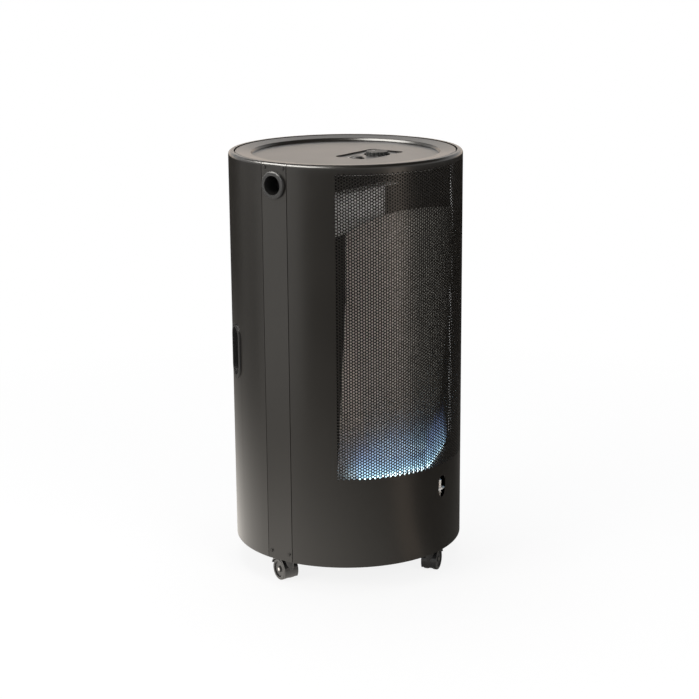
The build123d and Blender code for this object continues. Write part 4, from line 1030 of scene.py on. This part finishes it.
# ---------------------------------------------------------------- stage
def floor_finish():
    """White floor with a soft shadow; reflections see it painted dark, but for a painted warm pool of light.
    """
    shadow_reach, shadow_fade, whiteness = 0.45, 1.3, 0.86
    dim_side = (0.719, -0.695)
    pool_light, pool_least, pool_most, pool_share = 1.05, 0.12, 3.0, 0.48
    pool_start, pool_width, pool_fall = 0.21, 0.70, 2.2
    finish = Finish("pale_floor")
    seen, sheen = finish.rays("Camera", "Glossy")
    x, y, _ = finish.split(finish.place)
    reach = (x * x + y * y) ** 0.5
    away = ((reach - shadow_reach) / shadow_fade).clamped()
    # Painted light and shade seen only in reflections: the floor glows as a warm pool that fades with
    # distance and towards dim_side, and is black elsewhere.
    shaded = (x * dim_side[0] + y * dim_side[1]) / reach
    facing = (pool_light - shaded * pool_light).clamped(pool_least, pool_most)
    pool = facing / (1 + ((reach - pool_start) / pool_width) ** pool_fall)
    matt = finish.add("ShaderNodeBsdfDiffuse", None, {"Color": (0.86, 0.86, 0.86, 1)})
    white = seen * (whiteness + away * (1 - whiteness))
    plain = finish.mixed(white, matt, finish.glow((1, 1, 1), 1.0))
    dark = finish.glow((0, 0, 0), 0.0)
    painted_pool_glow = finish.mixed((pool * pool_share).clamped(), dark, finish.glow((1.0, 0.95, 0.88), 2.0))
    return finish.closed(finish.mixed(sheen, plain, painted_pool_glow))


def sheen_card(name, corners, colour, strength):
    """A screen round the stage that only polished surfaces see: black, or bright like a softbox."""
    mesh = bpy.data.meshes.new(name)
    last = len(corners) - 2
    mesh.from_pydata(corners, [], [(n, n + 1, n + 3, n + 2) for n in range(0, last, 2)])
    finish = Finish(name)
    mesh.materials.append(finish.closed(finish.glow(colour, strength)))
    card = new_object(name, mesh)
    for kind in ("camera", "diffuse", "shadow", "transmission", "volume_scatter"):
        setattr(card, f"visible_{kind}", False)


def arc_card(name, turns, radii, levels, colour, strength):
    """A screen bent round the cabinet between two directions, from one radius and level to another."""
    steps = 16
    corners = []
    for n in range(steps + 1):
        turn = math.radians(turns[0] + (turns[1] - turns[0]) * n / steps)
        for radius, level in zip(radii, levels):
            corners.append((radius * math.cos(turn), radius * math.sin(turn), level))
    sheen_card(name, corners, colour, strength)


def soft_lamp(name, place, aim, size, power, colour=(1, 1, 1)):
    """A rectangular lamp that faces a point."""
    lamp = bpy.data.lights.new(name, "AREA")
    lamp.shape = "RECTANGLE"
    lamp.size, lamp.size_y = size
    lamp.energy = power
    lamp.color = colour
    obj = new_object(name, lamp)
    away = Vector(place) - Vector(aim)
    obj.matrix_world = Matrix.Translation(place) @ away.to_track_quat("Z", "Y").to_matrix().to_4x4()
    obj.visible_glossy = False


class HEATER_OT_stage(bpy.types.Operator):
    """Sets up the floor, the soft light and the camera"""

    bl_idname = "heater.stage"
    bl_label = "Stage"

    floor_size = 80.0

    def execute(self, context):
        sizes = context.scene.heater_stage
        self.floor()
        self.cards()
        self.world(context.scene, sizes.ambient)
        self.lamps()
        self.camera(context.scene, sizes)
        context.scene.view_settings.view_transform = "Standard"
        return {"FINISHED"}

    def floor(self):
        half = self.floor_size / 2
        mesh = bpy.data.meshes.new("floor")
        corners = [(-half, -half, 0), (half, -half, 0), (half, half, 0), (-half, half, 0)]
        mesh.from_pydata(corners, [], [(0, 1, 2, 3)])
        mesh.materials.append(floor_finish())
        new_object("floor", mesh)

    def cards(self):
        """Dark ceiling, warm backdrop, softbox, three pale side screens, and a warm strip with its foot."""
        half, level = 3.0, 2.4
        warm, pale = (1.0, 0.84, 0.70), (1.0, 0.97, 0.92)
        strip_turns = (-88, -104)
        ceiling = [(-half, -half, level), (half, -half, level), (-half, half, level), (half, half, level)]
        sheen_card("ceiling_card", ceiling, (0, 0, 0), 0.0)
        arc_card("backdrop_card", turns=(-14, 86), radii=(2.8, 2.8), levels=(0.75, 1.31),
                 colour=(1.0, 0.85, 0.72), strength=1.7)
        arc_card("softbox_card", turns=(-170, -248), radii=(0.9, 0.9), levels=(1.32, 2.38),
                 colour=pale, strength=26.0)
        for turns, strength in (((-184, -203), 1.1), ((-203, -229), 1.25), ((-229, -262), 0.35)):
            arc_card(f"side_card_{-turns[0]}", turns, radii=(1.35, 1.35), levels=(0.0, 0.75),
                     colour=pale, strength=strength)
        arc_card("strip_card", strip_turns, radii=(2.9, 2.9), levels=(0.0, 0.8), colour=warm, strength=3.0)
        arc_card("strip_foot_card", strip_turns, radii=(0.32, 1.6), levels=(0.002, 0.002),
                 colour=warm, strength=0.8)

    def world(self, scene, ambient):
        """Even light from all round, with white behind the heater."""
        world = bpy.data.worlds.new("studio")
        world.use_nodes = True
        scene.world = world
        sheet = NodeSheet(world.node_tree)
        sheet.tree.nodes.clear()
        seen, sheen, through = sheet.rays("Camera", "Glossy", "Transmission")
        shown = (seen + sheen + through).clamped()
        sky = sheet.add("ShaderNodeBackground", None, {"Color": (0.93, 0.95, 1.0, 1), "Strength": ambient})
        white = sheet.add("ShaderNodeBackground", None, {"Color": (1, 1, 1, 1), "Strength": 1.0})
        sheet.add("ShaderNodeOutputWorld", None, {"Surface": sheet.mixed(shown, sky, white)})

    def lamps(self):
        """Soft boxes on the left, in front and overhead."""
        aim = (0.0, 0.0, 0.45)
        soft_lamp("left_box", (-2.6, 0.9, 1.5), aim, size=(1.6, 2.0), power=55, colour=(1.0, 0.97, 0.93))
        soft_lamp("front_box", (-0.9, -2.9, 1.7), aim, size=(1.6, 1.6), power=45, colour=(1.0, 0.96, 0.92))
        soft_lamp("top_box", (0.3, 0.5, 2.8), aim, size=(1.6, 1.6), power=35)

    def camera(self, scene, sizes):
        lens = bpy.data.cameras.new("camera")
        lens.lens = sizes.lens
        lens.sensor_width = 36
        camera = new_object("camera", lens)
        camera.matrix_world = (
            Matrix.Rotation(sizes.azimuth, 4, "Z")
            @ Matrix.Translation((0, -sizes.distance, sizes.height))
            @ Matrix.Rotation(-sizes.yaw, 4, "Z")
            @ Matrix.Rotation(math.pi / 2 - sizes.pitch, 4, "X")
            @ Matrix.Rotation(sizes.roll, 4, "Z"))
        scene.camera = camera


# ---------------------------------------------------------------- add-on
GROUPS = {
    "heater_punching": HeaterPunching,
    "heater_flames": HeaterFlames,
    "heater_dial": HeaterDial,
    "heater_colours": HeaterColours,
    "heater_stage": HeaterStage,
}
OPERATORS = (HEATER_OT_finishes, HEATER_OT_front, HEATER_OT_flames, HEATER_OT_dial, HEATER_OT_stage)


class HEATER_PT_panel(bpy.types.Panel):
    """Lists the heater's pieces and their sizes"""

    bl_idname = "HEATER_PT_panel"
    bl_label = "Heater"
    bl_space_type = "VIEW_3D"
    bl_region_type = "UI"
    bl_category = "Heater"

    def draw(self, context):
        for operator in OPERATORS:
            self.layout.operator(operator.bl_idname)
        for name, group in GROUPS.items():
            box = self.layout.box()
            box.label(text=group.__doc__.rstrip("."))
            for prop in group.__annotations__:
                box.prop(getattr(context.scene, name), prop)


def register():
    for name, group in GROUPS.items():
        bpy.utils.register_class(group)
        setattr(bpy.types.Scene, name, bpy.props.PointerProperty(type=group))
    for kind in (*OPERATORS, HEATER_PT_panel):
        bpy.utils.register_class(kind)


def unregister():
    for kind in reversed((*OPERATORS, HEATER_PT_panel)):
        bpy.utils.unregister_class(kind)
    for name, group in reversed(list(GROUPS.items())):
        delattr(bpy.types.Scene, name)
        bpy.utils.unregister_class(group)


def main():
    register()
    bpy.ops.heater.finishes()
    bpy.ops.heater.front()
    bpy.ops.heater.flames()
    bpy.ops.heater.dial()
    bpy.ops.heater.stage()


if __name__ == "__main__":
    main()
